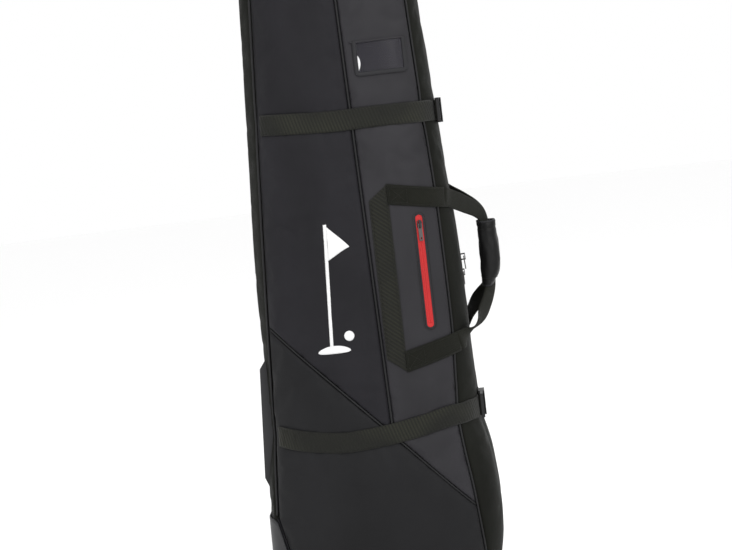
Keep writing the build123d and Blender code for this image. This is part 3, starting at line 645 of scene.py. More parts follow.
def padded_panel(name, ends, sides, shape, fabric, body, seed, crown=2.2, tuck=2.0, folds=1.5,
                 straps=True, pressure=4.0, puff=2.4, housings=False):
    """A padded panel between seams: tucked in at its edges, crowned, pressed in by the straps."""
    z, q = between(*ends, *sides, *shape)
    base = surf(z, q)
    n = normals(base)
    d = edge_distance(base)
    off = -tuck + (tuck + crown) * (1 - (1 - np.clip(d / EDGE_ROUND, 0, 1)) ** 2.4)
    inner = np.clip(d / 30, 0, 1)
    off = off + wrinkles(base, folds, seed) * inner
    pinned = (d < 3.0) | (slack(base) < 0.05)
    for path, size in ((UPPER_STRAP, 0.3), (LOWER_STRAP, 0.75)) if straps else ():
        dip = strap_dip(base, path, 1.0, 26)
        off = off - dip * (crown + 1.4) + gathers(base, path, size) * inner
        pinned |= dip > 0.6
    p = base + n * off[..., None]
    p = relax(name + "_cloth", p, n, pinned, pressure, puff)
    obj = slab(name, p, normals(p), 4.2, [fabric, LINING], body=body,
               skip=in_housing(base) if housings else None)
    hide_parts(name)


def lerp(a, b, t):
    return a + (b - a) * t


def grid(rows, cols):
    return np.meshgrid(np.linspace(0, 1, rows), np.linspace(0, 1, cols), indexing="ij")


def between(z_low, z_high, q_left, q_right, rows, cols):
    """A grid between two seams; its ends may be heights or functions of x that slope."""
    r, c = grid(rows, cols)

    def level(edge):
        if not callable(edge):
            return np.full_like(c, float(edge))
        z = np.full_like(c, 300.0)
        for _ in range(40):
            z = 0.5 * z + 0.5 * edge(surf(z, lerp(q_left(z), q_right(z), c))[..., 0])
        return z
    low, high = level(z_low), level(z_high)
    z = lerp(low, high, r)
    return z, lerp(q_left(z), q_right(z), c)


Z_TAPE = np.linspace(SKIRT_Z + 8, HOOD_Z - 4, 160)


def q_spine(z, gap=SEAM_GAP):
    return q_at_x(z, spine_x(z) + gap)


def q_zip(z, gap=-SEAM_GAP):
    return q_at_x(z, zip_x(z) + gap)


def wing_clear_x(z):
    return np.interp(z, [63, 118, 184, 195, 196], [-138, -172.5, -188.5, -195, -400])


def in_housing(p, grow=3.0):
    """Grid cells that the wheel housings take."""
    near = np.hypot(p[..., 0] - HOUSING_X, p[..., 2] - HOUSING_Z) < 50 + grow
    return near & (np.abs(np.abs(p[..., 1]) - HOUSING_Y) < 22 + grow)


def make_panels():
    low, top = SKIRT_Z + 1, HOOD_Z - 1

    def above(x):
        return diagonal_z(x) + 1.2

    def below(x):
        return diagonal_z(x) - 1.2

    def centre(gap):
        return lambda z: q_at_x(z, centre_x(z) + gap)

    def beside_wing(z):
        return q_at_x(z, np.maximum(spine_x(z) + SEAM_GAP, wing_clear_x(z)))

    padded_panel("logo_panel", (above, top), (q_spine, centre(-SEAM_GAP)), (132, 34), FABRIC,
                 "front_flap", 1.3)
    padded_panel("pocket_panel", (above, top), (centre(SEAM_GAP), q_zip), (140, 28), FABRIC_PAINTED_LIT,
                 "front_flap", 7.1, crown=2.0)
    padded_panel("lower_panel", (low, below), (beside_wing, q_zip), (64, 56), FABRIC_LOW,
                 "front_flap", 3.7, crown=2.6)
    padded_panel("front_gusset", (low, top), (lambda z: q_zip(z, SEAM_GAP), lambda z: q_at_y(z, -8.0)),
                 (150, 20), FABRIC_SIDE, "front_flap", 9.9, crown=1.2, tuck=1.8, puff=1.0)
    padded_panel("rear_gusset", (low, top),
                 (lambda z: 2 - q_at_y(z, -8.0), lambda z: 2 - q_zip(z, SEAM_GAP)), (150, 20),
                 FABRIC_SIDE, "case_body", 5.2, crown=1.2, tuck=1.8, straps=False, puff=1.0)
    padded_panel("rear_panel", (low, top), (lambda z: 2 - q_zip(z), lambda z: 2 - q_spine(z)),
                 (150, 60), FABRIC, "case_body", 2.2, straps=False, housings=True)
    padded_panel("spine_panel", (low, top),
                 (lambda z: -2 - q_spine(z, -SEAM_GAP), lambda z: q_spine(z, -SEAM_GAP)), (150, 30),
                 FABRIC_SIDE, "case_body", 4.4, crown=1.0, tuck=2.2, folds=0.5, straps=False,
                 pressure=2.0, housings=True)


def make_hood():
    z = np.concatenate([np.linspace(HOOD_Z + 2.6, DOME_LOW, 9),
                        DOME_LOW + (CASE_TOP - DOME_LOW) * np.linspace(0, 1, 34)[1:] ** 0.8])
    q = np.linspace(-2, 2, 160, endpoint=False)
    base = surf(z[:, None], q)
    lid = [base[-1] * np.array([k, k, 1]) + np.array([0, 0, 3.0 * (1 - k * k)])
           for k in (0.93, 0.84, 0.7, 0.5, 0.28, 0.06)]
    base = np.concatenate([base, np.array(lid)], 0)
    rise = 1 - (1 - np.clip((base[..., 2] - HOOD_Z - 2.6) / 12, 0, 1)) ** 2.4
    seam = np.exp(-((base[..., 2] - CROWN_SEAM_Z) / 5.0) ** 2) * 2.4
    off = -2.4 + 4.2 * rise + wrinkles(base, 0.9, 12.5, (1, 1, 1)) * rise - seam
    p = base + normals(base, wrap=True) * off[..., None]
    hood = slab("hood_shell", p, normals(p, wrap=True), 4.2, [FABRIC, LINING], wrap=True)
    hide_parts("hood_shell")
    ring, grow = level_ring(CROWN_SEAM_Z)
    tube("hood_crown_piping", ring + grow * 0.8, 2.0, [PIPING], "case_body", closed=True)
    tube("hood_seam_piping", level_ring(HOOD_Z + 3.4)[0] + grow * 0.4, 1.7, [PIPING], "case_body",
         closed=True)
    z = np.linspace(1192, CASE_TOP - 6, 26)[:, None]
    lid = [surf(z[-1], q) * np.array([k, k, 1]) - np.array([0, 0, 0.5]) for k in (0.8, 0.55, 0.3, 0.06)]
    p = np.concatenate([on_skin(z, q, -6.4, wrap=True)[0], np.array(lid)], 0)
    pad = slab("hood_pad", p, normals(p, wrap=True), 7.0, [LINING], wrap=True)
    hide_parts("hood_pad")


def piping_line(name, z, x, body, lift=0.5, radius=2.0, rear=False):
    """Piping over the seam along (x, z), which the straps press in on the front."""
    q = q_at_x(z, x)
    if rear:
        q = np.where(q > 0, 2 - q, -2 - q)
    p = surf(z, q)
    n = unit(np.cross(surf(z, q + 0.01) - p, np.gradient(p, axis=0)))
    n *= np.sign((n * p * LEVEL).sum(1, keepdims=True))
    dip = strap_dip(p, UPPER_STRAP, 2.4, 26) + strap_dip(p, LOWER_STRAP, 2.4, 26)
    return tube(name, p + n * (lift - dip * (not rear))[:, None], radius, [PIPING], body)


def make_seam_strip():
    """Cloth behind the spine seam."""
    z = np.linspace(WING_Z + 14, HOOD_Z - 6, 120)[:, None]
    p, n = on_skin(z, q_at_x(z, spine_x(z) + np.linspace(-4.5, 6.5, 12)), -3.4)
    strip = slab("spine_seam_strip", p, n, 1.2, [LINING], body=None)
    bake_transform(strip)


def make_piping():
    z = np.linspace(336, HOOD_Z - 2, 150)
    front = [piping_line("piping_centre", z, centre_x(z), "front_flap")]
    x = np.linspace(spine_x(539) + 4, zip_x(184) - 3, 110)
    front.append(piping_line("piping_diagonal", diagonal_z(x), x, "front_flap", 0.1, 1.7))
    z = np.linspace(SKIRT_Z + 3, HOOD_Z - 2, 180)
    front.append(piping_line("piping_zip_side", z, zip_x(z), "front_flap"))
    front = join("front_piping", front)
    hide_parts("front_piping")
    rear = [piping_line("piping_rear_zip", z, zip_x(z), "case_body", rear=True)]
    z = np.linspace(WING_Z + 8, HOOD_Z - 2, 170)
    rear.append(piping_line("piping_spine_front", z, spine_x(z) - 0.9, "case_body"))
    rear.append(piping_line("piping_spine_rear", z, spine_x(z) - 0.9, "case_body", rear=True))
    rear = join("rear_piping", rear)
    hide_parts("rear_piping")


# ---------------------------------------------------------------- webbing
def ribbon(name, centre, across, up, wide, thick, mats, body, cols=7, crown=0.0):
    """A band: centre points, unit vectors across it and out of it, width per point."""
    wide = np.broadcast_to(np.asarray(wide, float), (len(centre),))[:, None]
    c = np.linspace(-1, 1, cols)
    p = (centre[:, None] + across[:, None] * (c * wide / 2)[..., None]
         + up[:, None] * (crown * (1 - c ** 2))[:, None])
    uv = np.stack(np.broadcast_arrays(lengths(centre)[:, None], c * wide / 2), -1)
    return slab(name, p, np.broadcast_to(up[:, None], p.shape), thick, mats, uv=uv, body=body)


def beads(name, rings, uv_axes, mat, body):
    """Small closed beads in one mesh; rings holds bead, ring, point of the ring."""
    count, high = rings.shape[:2]
    one = quads(high, BEAD_SIDES, True) + caps(high, BEAD_SIDES)
    faces = [tuple(k * high * BEAD_SIDES + v for v in face) for k in range(count) for face in one]
    verts = rings.reshape(-1, 3)
    obj = make(name, verts, faces, [mat], uv=verts[:, uv_axes])
    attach(obj, body)
    return obj


def stitch_rings(points, up, pitch=3.4, long=2.6, radius=0.42):
    """Single stitches along a line, as small capsules lying on the cloth."""
    run = lengths(points)
    starts = np.arange(0.6, run[-1] - long, pitch)
    mid = sample(starts[:, None] + long * np.linspace(0, 1, 5), run, points)
    out = sample(starts + long / 2, run, up)[:, None]
    side = unit(np.cross(unit(mid[:, -1:] - mid[:, :1]), out))
    size = np.array([0.35, 0.9, 1.0, 0.9, 0.35])[:, None]
    core = mid + out * radius * (size - 0.4)
    turn = np.cos(BEAD_TURN) * side[:, :, None] + np.sin(BEAD_TURN) * out[:, :, None]
    return core[:, :, None] + radius * size[..., None] * turn


def stitches(name, lines, body):
    """lines is a list of (points, outward vectors)."""
    return beads(name, np.concatenate([stitch_rings(*line) for line in lines]), [2, 0], STITCH, body)


def on_front(x, z, off):
    """Points and outward vectors on the front, at (x, z) lifted by off."""
    x, z = np.asarray(x, float), np.asarray(z, float)
    q = q_at_x(z, x)
    p = surf(z, q)
    a = surf(z, q + 0.004) - surf(z, q - 0.004)
    b = surf(z + 2, q) - surf(z - 2, q)
    n = np.cross(a, b)
    n /= np.linalg.norm(n, axis=-1, keepdims=True)
    return p + n * np.asarray(off)[..., None] if np.ndim(off) else p + n * off, n


def webbing_round(name, z, q, off, curl, thick, mat, body):
    """Webbing that lies on the body along heights z and places q, with its edges curled in."""
    c = np.linspace(-1, 1, 9)[:, None]
    p, n = on_skin(z + c * 18.5, q, off - curl * np.abs(c) ** 3)
    uv = np.stack(np.broadcast_arrays(lengths(surf(z, q)), c * 18.5), -1)
    return slab(name, p, n, thick, [mat], uv=uv, body=body), p, n


def tacks(p, n, first, second):
    """Two lines of stitches across a band, at two of its columns."""
    bar = np.linspace(p[1, first], p[-2, first], 12)
    return [(bar, np.tile(n[4, first], (12, 1))),
            (bar + (p[4, second] - p[4, first]), np.tile(n[4, second], (12, 1)))]


def make_straps():
    for name, path in (("upper", UPPER_STRAP), ("lower", LOWER_STRAP)):
        level = path[-1, 1]
        q = np.linspace(float(q_at_x(path[0, 1], path[0, 0])), float(q_at_y(level, -60.0)), 90)
        x = surf(level, q)[:, 0]
        z = strap_z(path, np.clip(x, path[0, 0], 400))
        z = np.where(x > 160, lerp(z, level, np.clip((x - 160) / 12, 0, 1)), z)
        strap, p, n = webbing_round(f"{name}_strap", z, q, 2.6, 0.5, 1.9, WEBBING_STRAP, "front_flap")
        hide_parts(f"{name}_strap")
        lines = [(p[4, 2:7] + np.array([0, 0, rise]), n[4, 2:7]) for rise in (12, -12)]
        stitches(f"{name}_strap_bar_tacks", lines + tacks(p, n, 3, 8), "front_flap")
        # the webbing folds round the plug's bar
        a = float(sizes(level)[0])
        loop = spline([(a + out, y, level) for out, y in ((2.0, -70), (4.2, -76), (7.6, -70),
                                                          (9.4, -64.5), (6.8, -60.5), (4.2, -62))], 22)
        out = np.cross(unit(np.gradient(loop, axis=0)), np.array([0, 0, 1.0]))
        ribbon(f"{name}_strap_turn", loop, np.tile([0, 0, 1.0], (22, 1)), out, 35.0, 1.2, [WEBBING],
               "front_flap")
        # tab that holds the socket, on the case's own side
        q = np.linspace(float(q_at_y(level, -12.0)), 2 - float(q_at_y(level, -62.0)), 34)
        tab, p, n = webbing_round(f"{name}_socket_tab", np.full(34, level), q, 2.4, 0, 1.8, WEBBING,
                                  "case_body")
        if name == "upper":
            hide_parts("socket_tabs")
        stitches(f"{name}_socket_tab_tacks", tacks(p, n, 27, 31), "case_body")


def quad_patch(corners, rows, cols):
    """Bilinear (x, z) grid: corners are low-left, low-right, high-right, high-left."""
    r, c = grid(rows, cols)
    ll, lr, hr, hl = [np.array(k, float) for k in corners]
    p = (ll * ((1 - r) * (1 - c))[..., None] + lr * ((1 - r) * c)[..., None]
         + hr * (r * c)[..., None] + hl * (r * (1 - c))[..., None])
    return p[..., 0], p[..., 1]


def handle_plane(side):
    """Plane of a carry loop: origin, directions along, up and out of it, and the grip's distance."""
    start = np.array([170.5, side * 89.0, 728.0])
    low_end = np.array([176.0, side * 102.0, 480.0])
    grip = np.array([GRIP_X, side * 16.0, GRIP_Z])
    up = unit(start - low_end)
    level = start + (low_end - start) * ((728.0 - GRIP_Z) / 248.0)
    normal = unit(np.cross(grip - level, up))
    along = np.cross(up, normal)
    out = normal if np.dot(normal, np.array([1, side, 0])) > 0 else -normal
    return level - up * GRIP_Z, along, up, out, np.dot(grip - level, along)


def make_handle(side, body, tag):
    """Sewn frame on one broad face, and the loop that leaves it for the grip."""
    bands = {"upright": ([(37.5, 459), (72.5, 432), (72.5, 767), (37.5, 740)], 44, 8),
             "top": ([(71, 730.5), (168, 713), (168, 748), (71, 767)], 8, 24),
             "bottom": ([(71, 432), (168, 457.5), (168, 494), (71, 470)], 8, 24)}
    made, ends, lines = [], {}, []
    for kind, (corners, rows, cols) in bands.items():
        upright = kind == "upright"
        x, z = quad_patch(corners, rows, cols)
        p, n = on_skin(z, q_at_x(z, x), 3.4 if upright else 4.7)
        if side > 0:
            p, n = p * MIRROR, n * MIRROR
        uv = np.stack([z, x - 55] if upright else [x, z - (z[0] + z[-1]) / 2], -1)
        made.append(slab(f"{tag}_handle_{kind}", p, n, 1.9, [WEBBING_BOLD if upright else WEBBING],
                         uv=uv, body=body))
        # a line of stitches near each long edge
        rows_p, rows_n = (np.swapaxes(p, 0, 1), np.swapaxes(n, 0, 1)) if upright else (p, n)
        inside = slice(1, -1 if upright else None)
        for share in (0.09, 0.91):
            at = share * (len(rows_p) - 1)
            k = int(at)
            line = lerp(rows_p[k], rows_p[k + 1], at - k)
            lines.append((line[inside] + rows_n[k, inside] * 0.2, rows_n[k, inside]))
        if not upright:
            # box with a cross where the band turns on to the upright one
            a, b, c, d = p[1, 1], p[1, 8], p[-2, 8], p[-2, 1]
            lines += [(np.linspace(s, e, 10) + n[4, 4] * 0.3, np.tile(n[4, 4], (10, 1)))
                      for s, e in ((a, b), (b, c), (c, d), (d, a), (a, c), (b, d))]
        ends[kind] = p[:, -1].mean(0)
    stitches(f"{tag}_handle_stitches", lines, body)
    origin, along, up, out, reach = handle_plane(side)
    # share of the grip's distance, height and width along the loop
    upper = [(0.16, 726.5, 34), (0.5, 714.5, 33), (0.84, 700, 29), (0.99, 682, 25), (1.0, 640, 25),
             (1.0, 616, 25), (1.0, 590, 25)]
    lower = {-1: [(0.965, 564, 25), (0.87, 546, 27), (0.75, 530, 28), (0.59, 513, 30),
                  (0.38, 497, 31), (0.16, 484, 33)],
             1: [(0.94, 564, 25), (0.80, 549, 28), (0.64, 537, 30), (0.47, 524, 31),
                 (0.30, 508, 32), (0.13, 490, 33)]}[side]
    share, height, wide = np.array(upper + lower, float).T[..., None]
    route = np.vstack([ends["top"] - np.array([9, 0, -1.5]), ends["top"],
                       origin + reach * share * along + height * up,
                       ends["bottom"], ends["bottom"] - np.array([9, 0, 2.3])])
    wide = np.vstack([[[34.5], [34.5]], wide, [[34.5], [34.5]]])
    line = spline(np.hstack([route, wide]), 150)
    step = np.arange(150)
    c = line[:, :3]
    d = unit(np.gradient(c, axis=0))
    # the band lies on the body at its ends and turns into the loop's plane
    free = np.minimum(np.clip(step / 14, 0, 1), np.clip(step[::-1] / 14, 0, 1))[:, None]
    o = lerp(np.array([0.62, side * 0.78, 0.04]), out, free * free * (3 - 2 * free))
    o = unit(o - d * (o * d).sum(1, keepdims=True))
    # the front leg turns edge on where it leaves the body at its lower end
    turn = math.radians(58 if side < 0 else 20) * np.exp(-((step - 130) / 11.0) ** 2)
    turn = (turn * np.clip((146 - step) / 10, 0, 1))[:, None]
    o = o * np.cos(turn) - side * np.cross(o, d) * np.sin(turn)
    made.append(ribbon(f"{tag}_handle_loop", c + o * 0.9, np.cross(o, d), o, line[:, 3], 1.9,
                       [WEBBING], body, cols=9, crown=0.8))
    whole = join(f"{tag}_handle_webbing", made)
    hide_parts(f"{tag}_handle_webbing")


def make_grip(side, body, tag):
    """Half of the padded wrap: a channel with rolled edges and a bound rim."""
    split = 6.0 if side < 0 else 8.0
    section = spline([(-13.5, split), (-16.2, side * 14), (-15.0, side * 27), (-8, side * 34.0),
                      (0, side * 35.6), (8, side * 34.0), (15.0, side * 27), (16.2, side * 14),
                      (13.5, split)], 44)
    if side < 0:
        section[:, 1] = np.minimum(section[:, 1], split)
    h = np.linspace(-56, 59, 46)[:, None]
    t = h / 59
    bulge = 1.04 + 0.03 * (1 - t * t) - 0.02 * np.abs(t) ** 8
    waist = 1 - 0.40 * np.clip((-h - 26) / 30, 0, None) ** 1.7
    lean = np.interp(h, [-56, -38, -12, 20, 59], [-6.5, -1.0, 3.2, 3.0, 2.6])
    deep = np.where(np.abs(section[:, 1]) > 10, 1 + 0.03 * (1 - t * t) - 0.06 * np.abs(t) ** 8, 1)
    p = np.stack([GRIP_X + section[:, 0] * bulge * waist + lean, section[:, 1] * deep,
                  GRIP_Z + h + 0 * deep], -1)
    n = unit(np.cross(np.gradient(p, axis=1), np.gradient(p, axis=0)))
    if (n * (p - np.array([GRIP_X, side * 14.0, 0])) * LEVEL).sum() < 0:
        n = -n
    channel = -1.1 * (np.exp(-((h - 47) / 2.0) ** 2) + np.exp(-((h + 47) / 2.0) ** 2))
    p = p + n * (wrinkles(p, 2.3, 31.0 + side, (2.2, 2.2, 0.8)) + channel)[..., None]
    obj = slab(f"{tag}_grip_half", p, n, 3.4, [GRIP, LINING], body=body)
    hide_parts(f"{tag}_grip_half")
    for k, row in (("top", -1), ("low", 0)):
        tube(f"{tag}_grip_binding_{k}", p[row] - n[row] * 1.6, 2.1, [BINDING], body, sides=8)
    for k, col in (("a", 0), ("b", -1)):
        tube(f"{tag}_grip_edge_{k}", p[:, col] - n[:, col] * 1.6, 1.8, [BINDING], body, sides=8)
    stitches(f"{tag}_grip_stitches", [(p[i] + n[i] * 0.1, n[i]) for i in (5, -6)], body)


def seam_tape(name, x, z, body, rear=False):
    """Tape bound behind a seam, along points (x, z) of a broad face."""
    along = unit(np.stack([np.gradient(x), np.gradient(z)], 1))
    c = np.linspace(-6, 6, 5)
    p, n = on_front(x[:, None] - along[:, 1:] * c, z[:, None] + along[:, :1] * c, -6.3)
    if rear:
        p, n = p * MIRROR, n * MIRROR
    return slab(name, p, n, 0.9, [BINDING], body=body)


def make_seam_tapes():
    """The bound seams that show inside the case."""
    x = np.linspace(spine_x(539) + 8, zip_x(184) - 6, 90)
    join("seam_tapes_front", [
        seam_tape("tape_diagonal", x, diagonal_z(x), "front_flap"),
        seam_tape("tape_centre", centre_x(Z_TAPE[Z_TAPE > 330]), Z_TAPE[Z_TAPE > 330], "front_flap"),
        seam_tape("tape_zip_front", zip_x(Z_TAPE), Z_TAPE, "front_flap")])
    z = Z_TAPE[Z_TAPE > WING_Z + 4]
    tapes = [seam_tape("tape_zip_rear", zip_x(Z_TAPE), Z_TAPE, "case_body", rear=True),
             seam_tape("tape_spine_rear", spine_x(z), z, "case_body", rear=True)]
    for tag, level in (("low", SKIRT_Z), ("high", HOOD_Z + 1)):
        z, q = np.linspace(level - 6, level + 6, 5)[:, None], np.linspace(1.06, 3.15, 170)
        p, n = on_skin(z, q, -6.3)
        tapes.append(slab(f"tape_{tag}", p, n, 0.9, [BINDING], skip=in_housing(surf(z, q), 4.0)))
    join("seam_tapes_rear", tapes)


# ---------------------------------------------------------------- zips
def coil(name, line, side, body):
    """One side of a coil zip: a small bean for every tooth, wide at its head and thin at its foot."""
    pitch, reach, rise, wire = 2.5, 3.6, 1.2, 0.95
    run = lengths(line)
    at = np.arange(pitch / 2, run[-1] - pitch / 2, pitch)
    head = sample(at, run, line)
    to = unit(sample(at + 0.1, run, line) - head)[:, None, None]
    far, thick = np.array([(0.0, 0.85), (0.35, 0.62), (0.8, 0.55), (1.0, 0.75)]).T[..., None, None]
    ring = to * np.cos(BEAD_TURN) * wire * 1.25 + ZIP_OUT * np.sin(BEAD_TURN) * rise
    rings = head[:, None, None] + np.array([0, side * reach, 0]) * far + ring * thick
    beads(name, rings, [2, 1], COIL, body)


def make_main_zip():
    z = np.linspace(80, 1150, 200)
    for tag, side, body, node in (("fixed", 1, "case_body", "main_zip_fixed_tape"),
                                  ("flap", -1, "front_flap", "main_zip_flap_tape")):
        def place(z, y):
            q = q_at_y(z, -y)
            return surf(z, 2 - q if side > 0 else q)

        zz, yy = np.meshgrid(z, [1.3, 4.5, 9.0, 15.0, 21.0], indexing="ij")
        p = place(zz, yy)
        n = np.broadcast_to(ZIP_OUT, p.shape)
        tape = slab(f"main_zip_{tag}_tape", p - n * 4.0, n, 0.9, [ZIP_TAPE],
                    uv=np.stack([zz, yy], -1), body=body)
        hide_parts(node)
        coil(f"main_zip_{tag}_coil", surf(z, 1.0) + np.array([-2.7, side * 1.0, 0]), side, body)
        # bound edge of the gusset beside the coil
        tube(f"zip_guard_{tag}", place(z, 8.6) - np.array([1.9, 0, 0]), 1.7, [BINDING], body, sides=8)


def pill(x, z, half_wide, half_long, rows, cols, power=6.0):
    """(x, z) grid of an upright strip with rounded ends."""
    r, c = np.meshgrid(np.linspace(-1, 1, rows), np.linspace(-1, 1, cols), indexing="ij")
    cap = half_wide / half_long
    t = np.clip((np.abs(r) - (1 - cap)) / cap, 0, 1)
    w = np.sqrt(np.clip(1 - t ** 2, 0.0, 1))
    w = np.maximum(w, 0.08)
    return x + c * half_wide * w, z + r * half_long


def make_pocket():
    cx, low, high = 120.5, 507.0, 707.0
    mid = (low + high) / 2
    x, z = pill(cx, mid, 6.0, (high - low) / 2, 90, 9)
    p, n = on_front(x, z, 2.9)
    zip_tape = slab("pocket_zip", p, n, 1.3, [RED_TAPE], uv=np.stack([z, x - cx], -1),
                    body="front_flap")
    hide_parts("pocket_zip")
    parts = []
    zz, cc = np.meshgrid(np.linspace(low + 8, high - 8, 90), np.linspace(0.35, 3.2, 6), indexing="ij")
    for side in (-1, 1):
        p, n = on_front(cx + side * cc, zz, 3.0 + 0.55 * np.sin(math.pi * (cc - 0.35) / 2.85))
        parts.append(slab(f"pocket_zip_fold_{side + 1}", p, n, 0.8, [RED_TAPE],
                          uv=np.stack([zz, cc], -1), body="front_flap"))
    join("pocket_zip_folds", parts)
    # raised welt round the zip, and its topstitching
    wide, half = 6.9, (high - low) / 2 - 6.0
    arc = np.linspace(0, math.pi, 24)
    upper = np.vstack([np.column_stack([wide * np.cos(arc), half + wide * np.sin(arc)]),
                       np.column_stack([np.full(58, -wide), half * np.linspace(1, -1, 60)[1:-1]])])
    path = np.vstack([upper, -upper])
    p, n = on_front(cx + path[:, 0], mid + path[:, 1], 2.3)
    tube("pocket_zip_welt", p, 1.3, [FABRIC_PAINTED_LIT], "front_flap", sides=8, closed=True)
    grow = 10.6 / wide
    far = np.abs(path[:, 1])
    rise = np.minimum(far, half) + np.clip(far - half, 0, None) * grow
    p, n = on_front(cx + path[:, 0] * grow, mid + np.sign(path[:, 1]) * rise, 2.5)
    stitches("pocket_topstitch", [(np.vstack([p, p[:1]]), np.vstack([n, n[:1]]))], "front_flap")
    x, z = np.meshgrid(np.linspace(78, 146, 16), np.linspace(452, 712, 40))
    p, n = on_front(x, z, -9.4)
    bag = slab("pocket_pouch", p + n * wrinkles(p, 1.6, 40)[..., None], n, 1.2, [LINING],
               body="front_flap")
    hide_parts("pocket_pouch")


def make_window():
    x0, x1, z0, z1 = 39.0, 131.0, 958.0, 1020.0
    x, z = np.meshgrid(np.linspace(x0 + 4, x1 - 4, 26), np.linspace(z0 + 4, z1 - 2, 18))
    p, n = on_front(x, z, 2.6)
    card = slab("id_card", p, n, 0.5, [CARD], body="front_flap")
    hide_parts("id_card")
    # pale crescent at the window's left, under the film: a painted reflection of the light on the vinyl
    t = np.linspace(0, 1, 16)[:, None]
    s = np.linspace(0, 1, 5)
    p, n = on_front(x0 + 6.0 + 5.5 * np.sin(math.pi * t) ** 0.7 * s + 0.5 * t,
                    lerp(z0 + 9, z0 + 38, t) + 0 * s, 3.2)
    slab("id_window_painted_glint", p, n, 0.3, [WINDOW_PAINTED_GLINT], body="front_flap")
    x, z = np.meshgrid(np.linspace(x0 + 2, x1 - 2, 30), np.linspace(z0 + 2, z1 - 1, 20))
    p, n = on_front(x, z, 3.9)
    film = slab("id_window_film", p + n * wrinkles(p, 0.35, 51, (2, 2, 2))[..., None], n, 0.3,
                [FILM], body="front_flap")
    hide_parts("id_window_film")
    corner = 9.0
    turn = np.linspace(math.pi, 1.5 * math.pi, 8)
    low = z0 + corner
    path = even(np.vstack([
        [(x0, z1), (x0, low)],
        np.column_stack([x0 + corner + corner * np.cos(turn), low + corner * np.sin(turn)]),
        np.column_stack([x1 - corner - corner * np.sin(turn), low + corner * np.cos(turn)]),
        [(x1, z1)]]), 110)
    d = unit(np.gradient(path, axis=0))
    c = np.linspace(0, 1, 6)[:, None]
    p, n = on_front(path[:, 0] - d[:, 1] * c * 7.5, path[:, 1] + d[:, 0] * c * 7.5,
                    4.2 + 1.1 * np.sin(math.pi * c) + 0 * path[:, 0])
    uv = np.stack(np.broadcast_arrays(lengths(path), (c - 0.5) * 6.5), -1)
    binding = slab("id_window_frame", p, n, 2.2, [BINDING], uv=uv, body="front_flap")
    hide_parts("id_window_frame")
    x, z = np.meshgrid(np.linspace(x0 - 4, x1, 26), np.linspace(z1 - 3, z1, 4))
    p, n = on_front(x, z, 4.5)
    slab("id_window_top_tape", p, n, 2.0, [FABRIC_PAINTED_LIT], body="front_flap")


def make_emblem():
    """An embroidered flag, its pole, a ball and the ground they stand on."""
    parts = []

    def blob(name, x, z, dome):
        d = edge_distance(np.stack([x, 0 * x, z], -1))
        p, n = on_front(x, z, 2.2 + dome * np.sqrt(np.clip(d / 2.6, 0, 1)))
        parts.append(slab(name, p, n, 1.6, [THREAD], uv=np.stack([z, x], -1), body="front_flap"))

    r, c = grid(70, 7)
    blob("emblem_pole", lerp(-60 + 6 * c, -48 + 6 * c, r), lerp(492, 708, r), 1.1)
    r, c = grid(26, 24)
    blob("emblem_flag", lerp(lerp(-45.8, -42.5, r), -6, c),
         lerp(lerp(644, 663, c), lerp(704, 664, c), r) + 3.0 * np.sin(c * 2.6) * c, 1.0)
    r, c = grid(14, 34)
    t = (c - 0.5) * 2
    thick = (r - 0.5) * 2 * np.sqrt(np.clip(1 - t ** 2, 0.02, 1))
    blob("emblem_ground", -53 + 29 * t, 486 + 7 * thick - 3 * t * t, 1.0)
    blob("emblem_ball", -24 + 9 * t, 508 + 9 * thick, 1.4)
    whole = join("emblem", parts)
    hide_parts("emblem")


# ---------------------------------------------------------------- base, handles, inside
def tray_top(x):
    return np.interp(x, [-196, -191, -175, -141], [WING_Z, WING_Z - 6, 118, LIP_Z])


def cut_housings(obj, *tools):
    """Cuts the room of both wheel housings out of obj, as rods of (radius, half length)."""
    for radius, half in tools:
        for side in (-1, 1):
            place = Vector((HOUSING_X, side * HOUSING_Y, HOUSING_Z)) * MM
            bpy.ops.mesh.primitive_cylinder_add(vertices=64, radius=radius * MM,
                                                depth=2 * half * MM, location=place,
                                                rotation=(math.pi / 2, 0, 0))
            tool = bpy.context.object
            mod = obj.modifiers.new("cut", "BOOLEAN")
            mod.operation, mod.object, mod.solver = "DIFFERENCE", tool, "EXACT"
            bpy.context.view_layer.objects.active = obj
            bpy.ops.object.modifier_apply(modifier=mod.name)
            bpy.data.objects.remove(tool)


